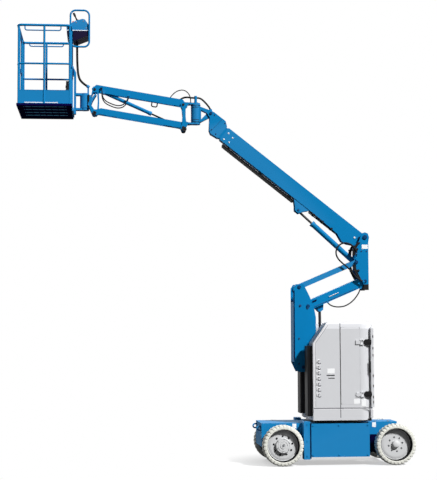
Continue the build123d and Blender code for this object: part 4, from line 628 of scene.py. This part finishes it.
# ---------------------------------------------------------------- covers and chassis
def cover_details(name, hand, vents):
    """What one side cover carries, the black band of painted shadow under its skirt and the plate on its
    door.

    The cover has latches, a handle, blank plates, seams, a corner post with hinge eyes, and a slanted edge,
    a groove and scoop vents drawn with painted highlight and painted shade.
    """
    kit = Surface()

    def flat(outline, depth, slot, sink=0.002):
        outline = [(SLEW_X + x, z) for x, z in outline]
        kit.side_plate(outline, hand, COVER_SIDE - sink, COVER_SIDE + depth, slot)

    for z in (1.682, 0.968):
        turn = np.linspace(radians(80), radians(280), 12)
        dee = [(0.385 + 0.036 * cos(t), z + 0.04 * sin(t)) for t in turn]
        flat(dee + [(0.445, z - 0.04), (0.457, z - 0.024), (0.457, z + 0.028), (0.448, z + 0.04)], 0.007, 1)
        flat(oblong(0.395, 0.44, z - 0.014, z + 0.014), 0.012, 1)
    for x0, x1, z0, z1, depth, slot in (
        (0.428, 0.449, 1.262, 1.42, 0.004, 1), (0.433, 0.445, 1.276, 1.402, 0.01, 1),
        (-0.16, -0.06, 1.255, 1.322, 0.0012, 3), (0.312, 0.374, 0.8, 0.9, 0.0012, 3),
        (-0.172, -0.058, 1.222, 1.236, 0.0012, 5), (-0.147, -0.058, 1.184, 1.196, 0.0012, 5),
        # the panel joint in front of the door runs on from the roof to the skirt, and a groove crosses there
        (0.019, 0.027, 1.886, 1.944, 0.0006, 4), (0.019, 0.027, 0.65, 0.834, 0.0006, 4),
        (-0.352, 0.47, 0.774, 0.785, 0.0006, 4), (0.016, 0.024, 0.65, 1.94, 0.0005, 5),
        # a pale strip under the groove: a painted highlight on its lower lip
        (-0.352, 0.47, 0.762, 0.769, 0.0006, 2),
    ):
        flat(oblong(x0, x1, z0, z1), depth, slot)
    # strips close the gap round the rest of the door, level with the cover's face
    for x0, x1, z0, z1 in (
        (0.2943, 0.2997, 0.832, 1.888), (0.03, 0.2997, 1.8843, 1.8897), (0.03, 0.2997, 0.8303, 0.8357),
    ):
        flat(oblong(x0, x1, z0, z1), -0.0002, 0, 0.016)
    # the rear corner is a squarer post with its hinge eyes
    for x0, x1, z0, z1, inner in ((0.45, 0.489, 0.792, 1.884, 0.455), (0.44, 0.474, 0.65, 0.77, 0.47)):
        post = [(x0, z0), (x1, z0), (x1, z1 - 0.02), (x1 - 0.012, z1), (x0, z1)]
        kit.side_plate([(SLEW_X + x, z) for x, z in post], hand, inner, 0.529)
    for z in (0.86, 0.93, 1.08, 1.22, 1.5, 1.6, 1.76):
        kit.revolved([(0.006, -0.016), (0.006, 0.016)], (SLEW_X + 0.48, hand * 0.5295, z), UP, 12, 5)
    # the slanted front edge is drawn as folded: a pale flange of painted highlight with a dark line of
    # painted shade behind it
    for x, wide, slot in ((-0.344, 0.016, 2), (-0.327, 0.005, 4)):
        back, roof = x + wide, x + 0.178
        flange = [(x, 0.8), (back, 0.8), (back, 1.668), (roof + wide, 1.912), (roof, 1.916), (x, 1.672)]
        flat(flange, 0.0007, slot)
    # each scoop is a raised half-round lip, open toward the door: a pale arc over its top and left
    # is painted highlight, and a dark arc round its left and bottom is painted shade
    for z in np.linspace(1.412, 0.957, vents):
        for x, radius, tall, stand, first, last, steps, thick, slot in (
            (-0.274, 0.03, 0.029, 0.002, 70, 200, 14, 0.008, 2),
            (-0.268, 0.022, 0.022, 0.003, 110, 330, 18, 0.005, 4),
        ):
            turn = np.linspace(radians(first), radians(last), steps)
            middle = np.array((SLEW_X + x, hand * (COVER_SIDE + stand), z))
            kit.tube([middle + (radius * cos(t), 0, tall * sin(t)) for t in turn], thick, 10, slot)
    finishes = ["cover", "plastic", "grey_painted_highlight", "white", "grey_joint_and_painted_shade", "black"]
    kit.make(f"cover_kit_{name}", finishes, "turntable", bevel=0.0012)
    # a black band below the skirt: a painted shadow in the gap above the chassis
    skirt = Surface()
    skirt.side_plate(oblong(SLEW_X - 0.35, SLEW_X + 0.455, 0.603, 0.634), hand, 0.3, 0.505)
    skirt.make(f"shadow_skirt_{name}", ["black"], "turntable")
    plate = Surface()
    door_plate = oblong(SLEW_X + 0.206, SLEW_X + 0.292, 0.838, 0.904)
    plate.side_plate(door_plate, hand, COVER_SIDE - 0.0005, COVER_SIDE + 0.0009)
    plate.make(f"door_plate_{name}", ["white"], f"cover_door_{name}")


def chassis_details():
    """Blank plates, a strip and a recess of painted shade, and bolts on the chassis's sides, and bolts on its
    end.
    """
    kit = Surface()
    for hand in HANDS:
        for x0, x1, z0, z1, wall, depth, slot in (
            (-0.622, -0.566, 0.496, 0.562, 0.3312, 0.0012, 1),
            (0.52, 0.572, 0.496, 0.562, 0.2165, 0.0012, 1),
            # navy plates of painted shade: on the recessed wall by the steer wheels, and between the front
            # post and the panel
            (0.458, 0.6, 0.15, 0.395, 0.2165, 0.0012, 3),
            (-0.403, -0.384, 0.095, 0.572, CHASSIS_SIDE, 0.0006, 3),
        ):
            kit.side_plate(oblong(SLEW_X + x0, SLEW_X + x1, z0, z1), hand, wall - 0.002, wall + depth, slot)
        for x, heights, size in (
            (-0.36, (0.14, 0.545), 0.01), (0.0, (0.14, 0.545), 0.01), (0.4, (0.14, 0.545), 0.01),
            (-0.442, (0.13, 0.33, 0.56), 0.009),
        ):
            for z in heights:
                kit.side_bolt(Vector((SLEW_X + x, 0, z)), hand, CHASSIS_SIDE + 0.0002, size)
    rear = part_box("chassis_frame")[1].x
    for y in (-0.176, 0.176):
        for x in (rear - 0.12, rear - 0.3):
            kit.bolt(Vector((x, y, 0.5715)), UP, 0.012, 2)
    kit.make("chassis_kit", ["blue", "white", "steel", "navy_painted_shade"], "chassis", bevel=0.0008)


# ---------------------------------------------------------------- fittings at the joints
def tower_pins():
    """The tower's pin ends and side bolts in the darker blue of painted shade, and a strip of painted shade
    down its front edge.
    """
    level = PIN["tower_level"]
    kit = Surface()
    for place in (
        level, PIN["upper_link_main_turn"], PIN["upper_link_level_turn"], level + Vector((0.04, 0, 0.215)),
    ):
        kit.pin_ends(place, RISER_PIN_REACH, RISER_PIN)
    low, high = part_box("tower")
    for hand in HANDS:
        for dx, dz, size in (
            (-0.035, 0.86, 0.014), (0.07, 0.83, 0.014), (-0.061, 0.05, 0.01), (-0.054, 0.4, 0.01),
        ):
            kit.side_bolt(level + Vector((dx, 0, dz)), hand, RISER_SIDE, size)
        # a navy strip of painted shade down the tower's front edge
        strip = oblong(low.x + 0.001, low.x + 0.016, low.z + 0.16, high.z - 0.09)
        kit.side_plate(strip, hand, 0.1385, 0.1407, 1)
    kit.make("tower_pins", ["blue_painted_shade", "navy_painted_shade"], "tower")


def upper_link_marks():
    """Painted light on the upper main link's sides: a dark slot of painted shade, a pale strip of painted
    highlight and a line of painted shade along the lower edge.
    """
    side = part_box("upper_link_main")[1].y
    kit = Surface()
    for hand in HANDS:
        for u0, u1, v0, v1, slot in (
            (0.085, 0.15, 0.02, 0.038, 1), (0.33, 0.48, -0.002, 0.006, 2),
            (0.085, 0.74, -0.046, -0.041, 0),
        ):
            outline = laid(PIN["upper_link_main_turn"], RISER_ANGLE, oblong(u0, u1, v0, v1))
            kit.side_plate(outline, hand, side - 0.001, side + 0.0007, slot)
    kit.make("upper_link_marks", ["blue_painted_shade", "navy_painted_shade", "grey_painted_highlight"], "upper_link_main")


def knuckle_pins():
    """The knuckle's pin ends, bolts and blank plates, and the hard lines clipped along its front edge."""
    pivot = PIN["boom_lift"]
    level = along(PIN["upper_link_level_turn"], RISER_ANGLE, LINK_LENGTH)
    kit = Surface()
    for place in (PIN["knuckle_level"], level):
        kit.pin_ends(place, RISER_PIN_REACH, RISER_PIN)
    kit.pin_ends(pivot, 0.15, 0.032)
    lines_above = ((-0.1, -0.075), (-0.14, -0.12), (-0.172, -0.185), (-0.178, -0.262))
    lines_below = ((-0.18, -0.392), (-0.17, -0.44), (-0.14, -0.51), (-0.094, -0.6))
    lines, pitch = 3, 0.0145
    for hand in HANDS:
        plate = oblong(pivot.x - 0.045, pivot.x + 0.04, pivot.z - 0.165, pivot.z - 0.105)
        kit.side_plate(plate, hand, 0.14, 0.1412, 1)
        for dx in (-0.052, 0.022):
            kit.side_bolt(pivot + Vector((dx, 0, -0.2)), hand, RISER_SIDE, 0.009)
        # two runs of lines, above and below the level link, each under a clip
        for route in (lines_above, lines_below):
            for k in range(lines):
                line = [pivot + Vector((dx + pitch * k, hand * 0.15, dz)) for dx, dz in route]
                kit.tube(bent_rail(line, 0.05, steps=4), 0.0082, 10, 2)
        for dx, dz in ((-0.168, -0.17), (-0.152, -0.47)):
            x, z = pivot.x + dx, pivot.z + dz
            kit.side_plate(oblong(x - 0.014, x + 0.07, z - 0.01, z + 0.01), hand, 0.14, 0.161, 2)
    # the pin ends and side bolts take the darker blue: painted shade
    kit.make("knuckle_pins", ["blue_painted_shade", "white", "black"], "knuckle")


def frame_pins():
    """The ends of the pins that the riser's two lower links turn on."""
    kit = Surface()
    for name in ("riser_lift", "lower_link_level_turn"):
        kit.pin_ends(PIN[name], 0.154, RISER_PIN)
    kit.make("frame_pins", ["steel"], "turntable")


def boom_fittings():
    """On the boom's sides: the skin of the lift cylinder's lug, a clipped conduit, and bolts at both ends."""
    pivot = PIN["boom_lift"]
    # the lug's outer skin sweeps down from the boom's side in a curve
    skin = [
        (1.135, -0.15), (1.125, -0.182), (1.085, -0.222), (1.045, -0.262), (1.02, -0.296), (0.985, -0.309),
        (0.95, -0.303), (0.925, -0.275), (0.895, -0.232), (0.855, -0.192), (0.84, -0.15),
    ]
    bolts = (
        (2.425, -0.03, 0.0085, 2), (2.425, -0.14, 0.0085, 2), (2.34, -0.045, 0.0085, 2),
        (2.34, -0.125, 0.0085, 2), (0.05, -0.045, 0.011, 1), (0.105, -0.085, 0.011, 2),
        (-0.02, -0.075, 0.011, 1),
    )
    kit = Surface()

    def spot(run, rise):
        return along(pivot, BOOM_ANGLE, run, rise, -1)

    for hand in HANDS:
        out = ACROSS * hand
        cap = [(0.016, 0.0), (0.016, 0.006), (0.001, 0.008)]
        kit.revolved(cap, spot(0.975, -0.274) + out * 0.069, out, 24, 1)
        kit.side_plate(laid(pivot, BOOM_ANGLE, skin, -1), hand, 0.0612, 0.068)
        conduit = [spot(run, -0.188) + out * 0.066 for run in (0.835, 0.7, 0.56, 0.42, 0.345)]
        kit.tube(conduit, 0.0085, 12, 3)
        for run in (0.76, 0.6, 0.44):
            clip = laid(pivot, BOOM_ANGLE, oblong(run - 0.012, run + 0.012, -0.199, -0.172), -1)
            kit.side_plate(clip, hand, 0.056, 0.0765, 3)
        for run, rise, size, slot in bolts:
            kit.side_bolt(spot(run, rise), hand, BOOM_SIDE, size, slot)
    # the cap on the lug and two bolts take the darker blue: painted shade
    kit.make("boom_fittings", ["blue", "blue_painted_shade", "white", "rubber"], "boom")


def boom_head_pins():
    """On the boom's head: the pin's ends, a weld line and bolts on each side, all in the darker blue of
    painted shade.
    """
    level = PIN["tip_level"]
    kit = Surface()
    kit.pin_ends(level, 0.083, 0.022)
    for hand in HANDS:
        weld = ((-0.152, -0.205), (-0.165, -0.08), (-0.176, 0.034))
        side = ACROSS * (hand * BOOM_SIDE)
        kit.tube([along(level, BOOM_ANGLE, run, rise, -1) + side for run, rise in weld], 0.0022, 8)
        for run, rise in ((-0.15, -0.18), (-0.235, -0.19), (-0.245, 0.012), (-0.055, 0.012)):
            kit.side_bolt(along(level, BOOM_ANGLE, run, rise, -1), hand, BOOM_SIDE, 0.008)
    kit.make("boom_head_pins", ["blue_painted_shade"], "extension")


def rotator_bands():
    """Dark bands round the jib's rotator."""
    kit = Surface()
    for z in (0.118, 0.09, -0.09, -0.118):
        ring = [(0.068, z - 0.004), (0.0705, z - 0.003), (0.0705, z + 0.003), (0.068, z + 0.004)]
        kit.revolved(ring, PIN["jib_rotate"], UP, 48)
    kit.make("rotator_bands", ["black"], "tip_bracket")


def roller(kit, place, hand, radius, width):
    """A black roller on the outer side of a pin, its rims rounded by 3 mm."""
    rim, bore = 0.003, 0.01
    lower = [(bore, 0.0), (radius - rim, 0.0), (radius, rim)]
    profile = lower + [(radius, width - rim), (radius - rim, width), (bore, width)]
    kit.revolved(profile, place + ACROSS * (hand * 0.0865), ACROSS * hand, 28)


def jib_loop():
    """A small loop of bent rod under the jib's upper arm."""
    loop = ((0.362, -0.03), (0.362, -0.088), (0.44, -0.088), (0.44, -0.03))
    kit = Surface()
    kit.tube(bent_rail([along(PIN["jib_lift"], JIB_ANGLE, u, v, -1) for u, v in loop], 0.022), 0.009, 12)
    kit.make("jib_loop", ["black"], "jib_upper")


def jib_base_pins():
    """The jib base's pin ends, the bolts on top of its rotator and the rollers at its lower pin."""
    top, circle, bolts = 0.1533, 0.048, 6
    kit = Surface()
    for name in ("jib_lift", "jib_lower_turn"):
        kit.pin_ends(PIN[name], JIB_PIN_REACH, JIB_PIN)
    for angle in np.linspace(0, tau, bolts, endpoint=False):
        spot = PIN["jib_rotate"] + Vector((circle * cos(angle), circle * sin(angle), top))
        kit.bolt(spot, UP, 0.007)
    for hand in HANDS:
        roller(kit, PIN["jib_lower_turn"] + Vector((0.012, 0, -0.026)), hand, 0.034, 0.018)
    kit.make("jib_base_pins", ["black"], "jib_base")


def platform_head_fittings():
    """The platform head's pin ends, rollers, cheek plates and the caps of its turning motor."""
    low_pin = PIN["platform_level"] - Vector((0, 0, 0.325))
    cheek = (
        (-0.1, 0.11), (-0.06, 0.19), (0.015, 0.275), (0.028, 0.262), (-0.03, 0.165), (-0.06, 0.08),
    )
    cap = [(0.02, -0.03), (0.02, 0.03), (0.012, 0.036), (0.001, 0.036)]
    kit = Surface()
    for place in (PIN["platform_level"], low_pin):
        kit.pin_ends(place, JIB_PIN_REACH, JIB_PIN)
    for hand in HANDS:
        roller(kit, low_pin + Vector((-0.004, 0, -0.012)), hand, 0.029, 0.016)
        kit.side_plate([(low_pin.x + x, low_pin.z + z) for x, z in cheek], hand, 0.07, 0.078, 2)
        for dz in (-0.06, 0.0, 0.06):
            kit.revolved(cap, PIN["platform_rotate"] + Vector((0.055, hand * 0.058, dz)), UP, 20, 1)
    kit.make("platform_head_fittings", ["black", "plastic", "blue"], "platform_head")


def cable_chain(links):
    """The cable carrier under the boom: a rounded body crossed by raised links, on three brackets."""
    start, end, low, high = 1.1, 2.4, -0.2378, -0.21
    kit = Surface()

    def across(outline, half):
        kit.plate(laid(PIN["boom_lift"], BOOM_ANGLE, outline, -1), -half, half)

    for middle in start + (np.arange(links) + 0.5) * (end - start) / links:
        across(oblong(middle - 0.006, middle + 0.006, low, high), 0.0434)
    underside = [(start, -0.222), (start + 0.012, -0.2365), (end - 0.05, -0.2365), (end - 0.012, -0.226)]
    across(underside + [(end, -0.208), (end - 0.004, -0.1975), (start, -0.1975)], 0.043)
    for stand in (1.18, 1.7, 2.28):
        across(oblong(stand, stand + 0.04, -0.2, -0.177), 0.03)
    kit.make("cable_chain", ["black"], "boom", ["cable_track"], bevel=0.0015)


# ---------------------------------------------------------------- hoses
JIB_HOSE_ROUTE = (
    (-1.5769, 5.2616), (-1.5769, 5.1969), (-1.5629, 5.1269), (-1.5249, 5.0749), (-1.4529, 5.0389),
    (-1.3599, 5.0059), (-1.2749, 5.0199), (-1.2179, 5.0829), (-1.2041, 5.1429),
)
# each hose: its frame node, the body it rides on, diameter, length, the y that it lies at, and the points
# (x, z) that its line bends toward
HOSES = (
    ("riser_hose", "upper_link_main", 0.018, 0.595, -0.1, (
        (1.61, 2.232), (1.6139, 2.225), (1.6479, 2.196), (1.7049, 2.178), (1.7699, 2.174), (1.8399, 2.184),
        (1.9089, 2.217), (1.9719, 2.267), (2.0229, 2.329), (2.0549, 2.384), (2.0714, 2.4293),
    )),
    ("knuckle_hose", "knuckle", 0.022, 1.01, -0.164, (
        (2.0207, 2.9382), (1.9926, 3.0002), (1.9366, 3.0552), (1.8596, 3.0822), (1.7796, 3.0622),
        (1.7266, 3.0002), (1.7146, 2.9202), (1.7496, 2.8452), (1.8146, 2.7852), (1.8796, 2.7352),
        (1.9396, 2.6702), (1.9946, 2.6002), (2.0476, 2.5582), (2.0937, 2.5363),
    )),
    ("tip_hose", "tip_bracket", 0.026, 0.26, 0.0, (
        (-0.2279, 5.1501), (-0.1872, 5.1501), (-0.1402, 5.1151), (-0.0932, 5.0661), (-0.0552, 5.0181),
        (-0.0396, 4.9883),
    )),
    ("swivel_hose", "jib_base", 0.026, 0.266, 0.0, (
        (-0.2685, 5.1501), (-0.3102, 5.1501), (-0.3652, 5.1601), (-0.4202, 5.1521), (-0.4702, 5.1221),
        (-0.5112, 5.0841),
    )),
    ("arch_hose", "jib_base", 0.014, 0.475, -0.025, (
        (-0.3202, 5.0727), (-0.3202, 5.1291), (-0.3362, 5.1871), (-0.3722, 5.2321), (-0.4202, 5.2581),
        (-0.4802, 5.2541), (-0.5402, 5.2251), (-0.5872, 5.1781), (-0.6232, 5.1331),
    )),
    ("jib_hose_near", "jib_upper", 0.016, 0.604, -0.1, JIB_HOSE_ROUTE),
    ("jib_hose_far", "jib_upper", 0.016, 0.604, 0.1, JIB_HOSE_ROUTE),
    ("platform_hose", "platform", 0.032, 0.65, 0.0, (
        (-1.9249, 5.9046), (-1.9249, 5.7599), (-1.9209, 5.5999), (-1.9079, 5.4399), (-1.8629, 5.3519),
        (-1.7872, 5.3045),
    )),
)


def hose(name, body, diameter, length, y, route):
    """A hydraulic hose or cable bundle as a NURBS curve whose control points are its route."""
    points = [(x, y, z) for x, z in route]
    data = bpy.data.curves.new(f"{name}_line", "CURVE")
    data.dimensions = "3D"
    data.bevel_depth = diameter / 2
    data.bevel_resolution = 6
    data.resolution_u = 12
    data.use_fill_caps = True
    spline = data.splines.new("NURBS")
    spline.points.add(len(points) - 1)
    for control, point in zip(spline.points, points):
        control.co = (*point, 1)
    spline.order_u = 3
    spline.use_endpoint_u = True
    data.materials.append(FINISH["rubber"])
    piece = bpy.data.objects.new(f"{name}_line", data)
    bpy.context.collection.objects.link(piece)
    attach(piece, body)
    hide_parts(name)


# ---------------------------------------------------------------- stage
def world_light(fill):
    """Soft light from all round, in a world that the camera, metal and glass see as white."""
    world = bpy.data.worlds.new("studio")
    bpy.context.scene.world = world
    world.use_nodes = True
    tree = world.node_tree
    back = tree.nodes["Background"]
    back.inputs["Color"].default_value = (1, 1, 1, 1)
    back.inputs["Strength"].default_value = fill
    seen = node(tree, "Background", {"Color": (1, 1, 1, 1), "Strength": 1.0}, "Background")
    white_ray = node(tree, "LightPath", {}, "Is Camera Ray")
    for kind in ("Is Glossy Ray", "Is Transmission Ray"):
        ray = node(tree, "LightPath", {}, kind)
        white_ray = node(tree, "Math", {0: white_ray, 1: ray}, "Value", operation="MAXIMUM")
    shown = node(tree, "MixShader", {"Fac": white_ray, 1: back.outputs["Background"], 2: seen}, "Shader")
    tree.links.new(shown, tree.nodes["World Output"].inputs["Surface"])


def lamp(name, strength, spread, way):
    """A far lamp that shines from a direction, its disc spread over some degrees."""
    data = bpy.data.lights.new(name, "SUN")
    data.energy = strength
    data.angle = radians(spread)
    sun = bpy.data.objects.new(name, data)
    sun.rotation_euler = Vector(way).to_track_quat("Z", "Y").to_euler()
    bpy.context.collection.objects.link(sun)


def floor_material(white, bounce):
    """White to the camera and fading into the background, and dark enough to throw little light back."""
    material = bpy.data.materials.new("floor")
    material.use_nodes = True
    tree = material.node_tree
    shader = tree.nodes["Principled BSDF"]
    shader.inputs["Roughness"].default_value = 0.9
    seen = node(tree, "LightPath", {}, "Is Camera Ray")
    tone = mixed(tree, seen, (bounce, bounce, bounce, 1), (white, white, white, 1))
    tree.links.new(tone, shader.inputs["Base Color"])
    # it glows for the camera alone, by half under the machine and fully some way from it
    place = node(tree, "TexCoord", {}, "Object")
    away = node(tree, "VectorMath", {0: place, 1: (SLEW_X, 0, 0)}, "Value", operation="DISTANCE")
    fade = ranged(tree, away, 0.9, 1.8, low=0.5, kind="SMOOTHSTEP")
    share = node(tree, "Math", {0: fade, 1: seen}, "Value", operation="MULTIPLY")
    glow = node(tree, "Emission", {"Color": (1, 1, 1, 1)}, "Emission")
    shown = node(tree, "MixShader", {"Fac": share, 1: shader.outputs["BSDF"], 2: glow}, "Shader")
    tree.links.new(shown, tree.nodes["Material Output"].inputs["Surface"])
    return material


def studio(key, rear, fill, white, bounce):
    """A pale floor that fades to white, a lamp in front at the upper right, one behind, and the camera."""
    world_light(fill)
    lamp("key", key, 7, (0.5, -0.68, 0.74))
    lamp("rear", rear, 25, (-0.25, 0.85, 0.4))
    size, level = 60.0, -0.001
    mesh = bpy.data.meshes.new("floor")
    corners = [(-size, -size, level), (size, -size, level), (size, size, level), (-size, size, level)]
    mesh.from_pydata(corners, [], [(0, 1, 2, 3)])
    mesh.materials.append(floor_material(white, bounce))
    floor = bpy.data.objects.new("floor", mesh)
    bpy.context.collection.objects.link(floor)
    data = bpy.data.cameras.new("camera")
    data.lens = 98.0
    data.sensor_width = 36.0
    data.sensor_fit = "AUTO"
    data.clip_end = 300
    camera = bpy.data.objects.new("camera", data)
    turn = Matrix.Identity(4)
    for angle, axis in ((-5.07, "Z"), (90 + 3.97, "X"), (-0.25, "Z")):
        turn = turn @ Matrix.Rotation(radians(angle), 4, axis)
    camera.matrix_world = Matrix.Translation((-1.558, -18.349, 1.848)) @ turn
    bpy.context.collection.objects.link(camera)
    bpy.context.scene.camera = camera
    bpy.context.scene.view_settings.view_transform = "Standard"


# ---------------------------------------------------------------- settings and operators
class BoomLiftFinish(bpy.types.PropertyGroup):
    """Colours of the machine."""

    paint: FloatVectorProperty(
        name="Paint", description="Colour of the painted steel", subtype="COLOR_GAMMA",
        default=[part / 255 for part in BLUE], min=0, max=1,
    )


class BoomLiftWheels(bpy.types.PropertyGroup):
    """Sizes of the tyres' lugs."""

    lugs: IntProperty(name="Lugs", description="Lugs around each side of a tyre", default=32, min=8, max=60)
    groove: FloatProperty(name="Groove", description="Depth between the lugs", default=0.011, unit="LENGTH")


class BoomLiftBasket(bpy.types.PropertyGroup):
    """Sizes of the platform's tubes."""

    rail: FloatProperty(name="Rail", description="Radius of the top rail", default=0.017, unit="LENGTH")
    post: FloatProperty(name="Post", description="Radius of the posts", default=0.015, unit="LENGTH")
    bend: FloatProperty(name="Bend", description="Radius of the rails' corners", default=0.06, unit="LENGTH")


class BoomLiftDetails(bpy.types.PropertyGroup):
    """Counts of the small repeated forms."""

    vents: IntProperty(name="Vents", description="Scoop vents on a side cover", default=7, min=2, max=12)
    links: IntProperty(name="Links", description="Links of the cable carrier", default=26, min=8, max=60)


class BoomLiftStage(bpy.types.PropertyGroup):
    """Strength of the light."""

    key: FloatProperty(name="Key", description="Strength of the lamp in front", default=4.75)
    rear: FloatProperty(name="Rear", description="Strength of the lamp behind the machine", default=1.9)
    fill: FloatProperty(name="Fill", description="Strength of the light from all round", default=0.11)
    white: FloatProperty(name="Floor", description="How pale the floor is", default=0.9, min=0, max=1)
    bounce: FloatProperty(
        name="Bounce", description="How much light the floor throws back", default=0.06, min=0, max=1,
    )


class BOOMLIFT_OT_finish(bpy.types.Operator):
    """Make the finishes and put them on the frame's nodes"""

    bl_idname = "boomlift.finish"
    bl_label = "Finishes"

    def execute(self, context):
        # the painted steel takes its colour from the settings
        FINISHES["blue"]["colour"] = [255 * part for part in context.scene.boomlift_finish.paint]
        for name, values in FINISHES.items():
            FINISH[name] = surface_material(name, **values)
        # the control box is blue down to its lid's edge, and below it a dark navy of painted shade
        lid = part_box("basket_floor")[1].z + 1.095
        below = ("Z", lid, lid - 0.004, (22, 14, 46), 1.0)
        FINISH["hood"] = surface_material("hood", **FINISHES["blue"], zones=(below,))
        FINISH["floor_pan"] = floor_pan_material()
        set_materials()
        return {"FINISHED"}


class BOOMLIFT_OT_wheels(bpy.types.Operator):
    """Build the four tyres and their discs"""

    bl_idname = "boomlift.wheels"
    bl_label = "Wheels"

    def execute(self, context):
        sizes = context.scene.boomlift_wheels
        for kind in ("drive", "steer"):
            for name, hand in SIDES:
                middle = PIN[f"wheel_{kind}_{name}_spin"]
                tyre(kind, name, middle, hand, sizes.lugs, sizes.groove)
                disc(kind, name, middle, hand)
        return {"FINISHED"}


class BOOMLIFT_OT_basket(bpy.types.Operator):
    """Build the platform's rails, posts and boards, and what its control box carries"""

    bl_idname = "boomlift.basket"
    bl_label = "Platform"

    def execute(self, context):
        sizes = context.scene.boomlift_basket
        basket_tubes(sizes.rail, sizes.post, sizes.bend)
        basket_pan()
        control_details()
        outlet_box()
        return {"FINISHED"}


class BOOMLIFT_OT_details(bpy.types.Operator):
    """Build the pins, bolts, latches, vents, plates and the cable carrier"""

    bl_idname = "boomlift.details"
    bl_label = "Fittings"

    def execute(self, context):
        counts = context.scene.boomlift_details
        for name, hand in SIDES:
            cover_details(name, hand, counts.vents)
        for fit in (
            chassis_details, tower_pins, upper_link_marks, knuckle_pins, frame_pins, boom_fittings,
            boom_head_pins, rotator_bands, jib_loop, jib_base_pins, platform_head_fittings,
        ):
            fit()
        cable_chain(counts.links)
        return {"FINISHED"}


class BOOMLIFT_OT_hoses(bpy.types.Operator):
    """Lay the hydraulic hoses"""

    bl_idname = "boomlift.hoses"
    bl_label = "Hoses"

    def execute(self, context):
        for row in HOSES:
            hose(*row)
        return {"FINISHED"}


class BOOMLIFT_OT_stage(bpy.types.Operator):
    """Set the floor, the light and the camera"""

    bl_idname = "boomlift.stage"
    bl_label = "Stage"

    def execute(self, context):
        light = context.scene.boomlift_stage
        studio(light.key, light.rear, light.fill, light.white, light.bounce)
        return {"FINISHED"}


class BOOMLIFT_PT_panel(bpy.types.Panel):
    """The boom lift's settings"""

    bl_label = "Boom lift"
    bl_idname = "BOOMLIFT_PT_panel"
    bl_space_type = "VIEW_3D"
    bl_region_type = "UI"
    bl_category = "Boom lift"

    def draw(self, context):
        for group in GROUPS:
            settings = getattr(context.scene, group)
            for name in settings.bl_rna.properties.keys():
                if name not in ("rna_type", "name"):
                    self.layout.prop(settings, name)
        for operator in OPERATORS:
            self.layout.operator(operator.bl_idname)


GROUPS = {
    "boomlift_finish": BoomLiftFinish,
    "boomlift_wheels": BoomLiftWheels,
    "boomlift_basket": BoomLiftBasket,
    "boomlift_details": BoomLiftDetails,
    "boomlift_stage": BoomLiftStage,
}
OPERATORS = (
    BOOMLIFT_OT_finish, BOOMLIFT_OT_wheels, BOOMLIFT_OT_basket, BOOMLIFT_OT_details, BOOMLIFT_OT_hoses,
    BOOMLIFT_OT_stage,
)


def register():
    for kind in (*GROUPS.values(), *OPERATORS, BOOMLIFT_PT_panel):
        bpy.utils.register_class(kind)
    for name, kind in GROUPS.items():
        setattr(bpy.types.Scene, name, bpy.props.PointerProperty(type=kind))


def unregister():
    for name in GROUPS:
        delattr(bpy.types.Scene, name)
    for kind in reversed((*GROUPS.values(), *OPERATORS, BOOMLIFT_PT_panel)):
        bpy.utils.unregister_class(kind)


def main():
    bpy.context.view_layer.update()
    register()
    for operator in OPERATORS:
        group, action = operator.bl_idname.split(".")
        getattr(getattr(bpy.ops, group), action)()


if __name__ == "__main__":
    main()
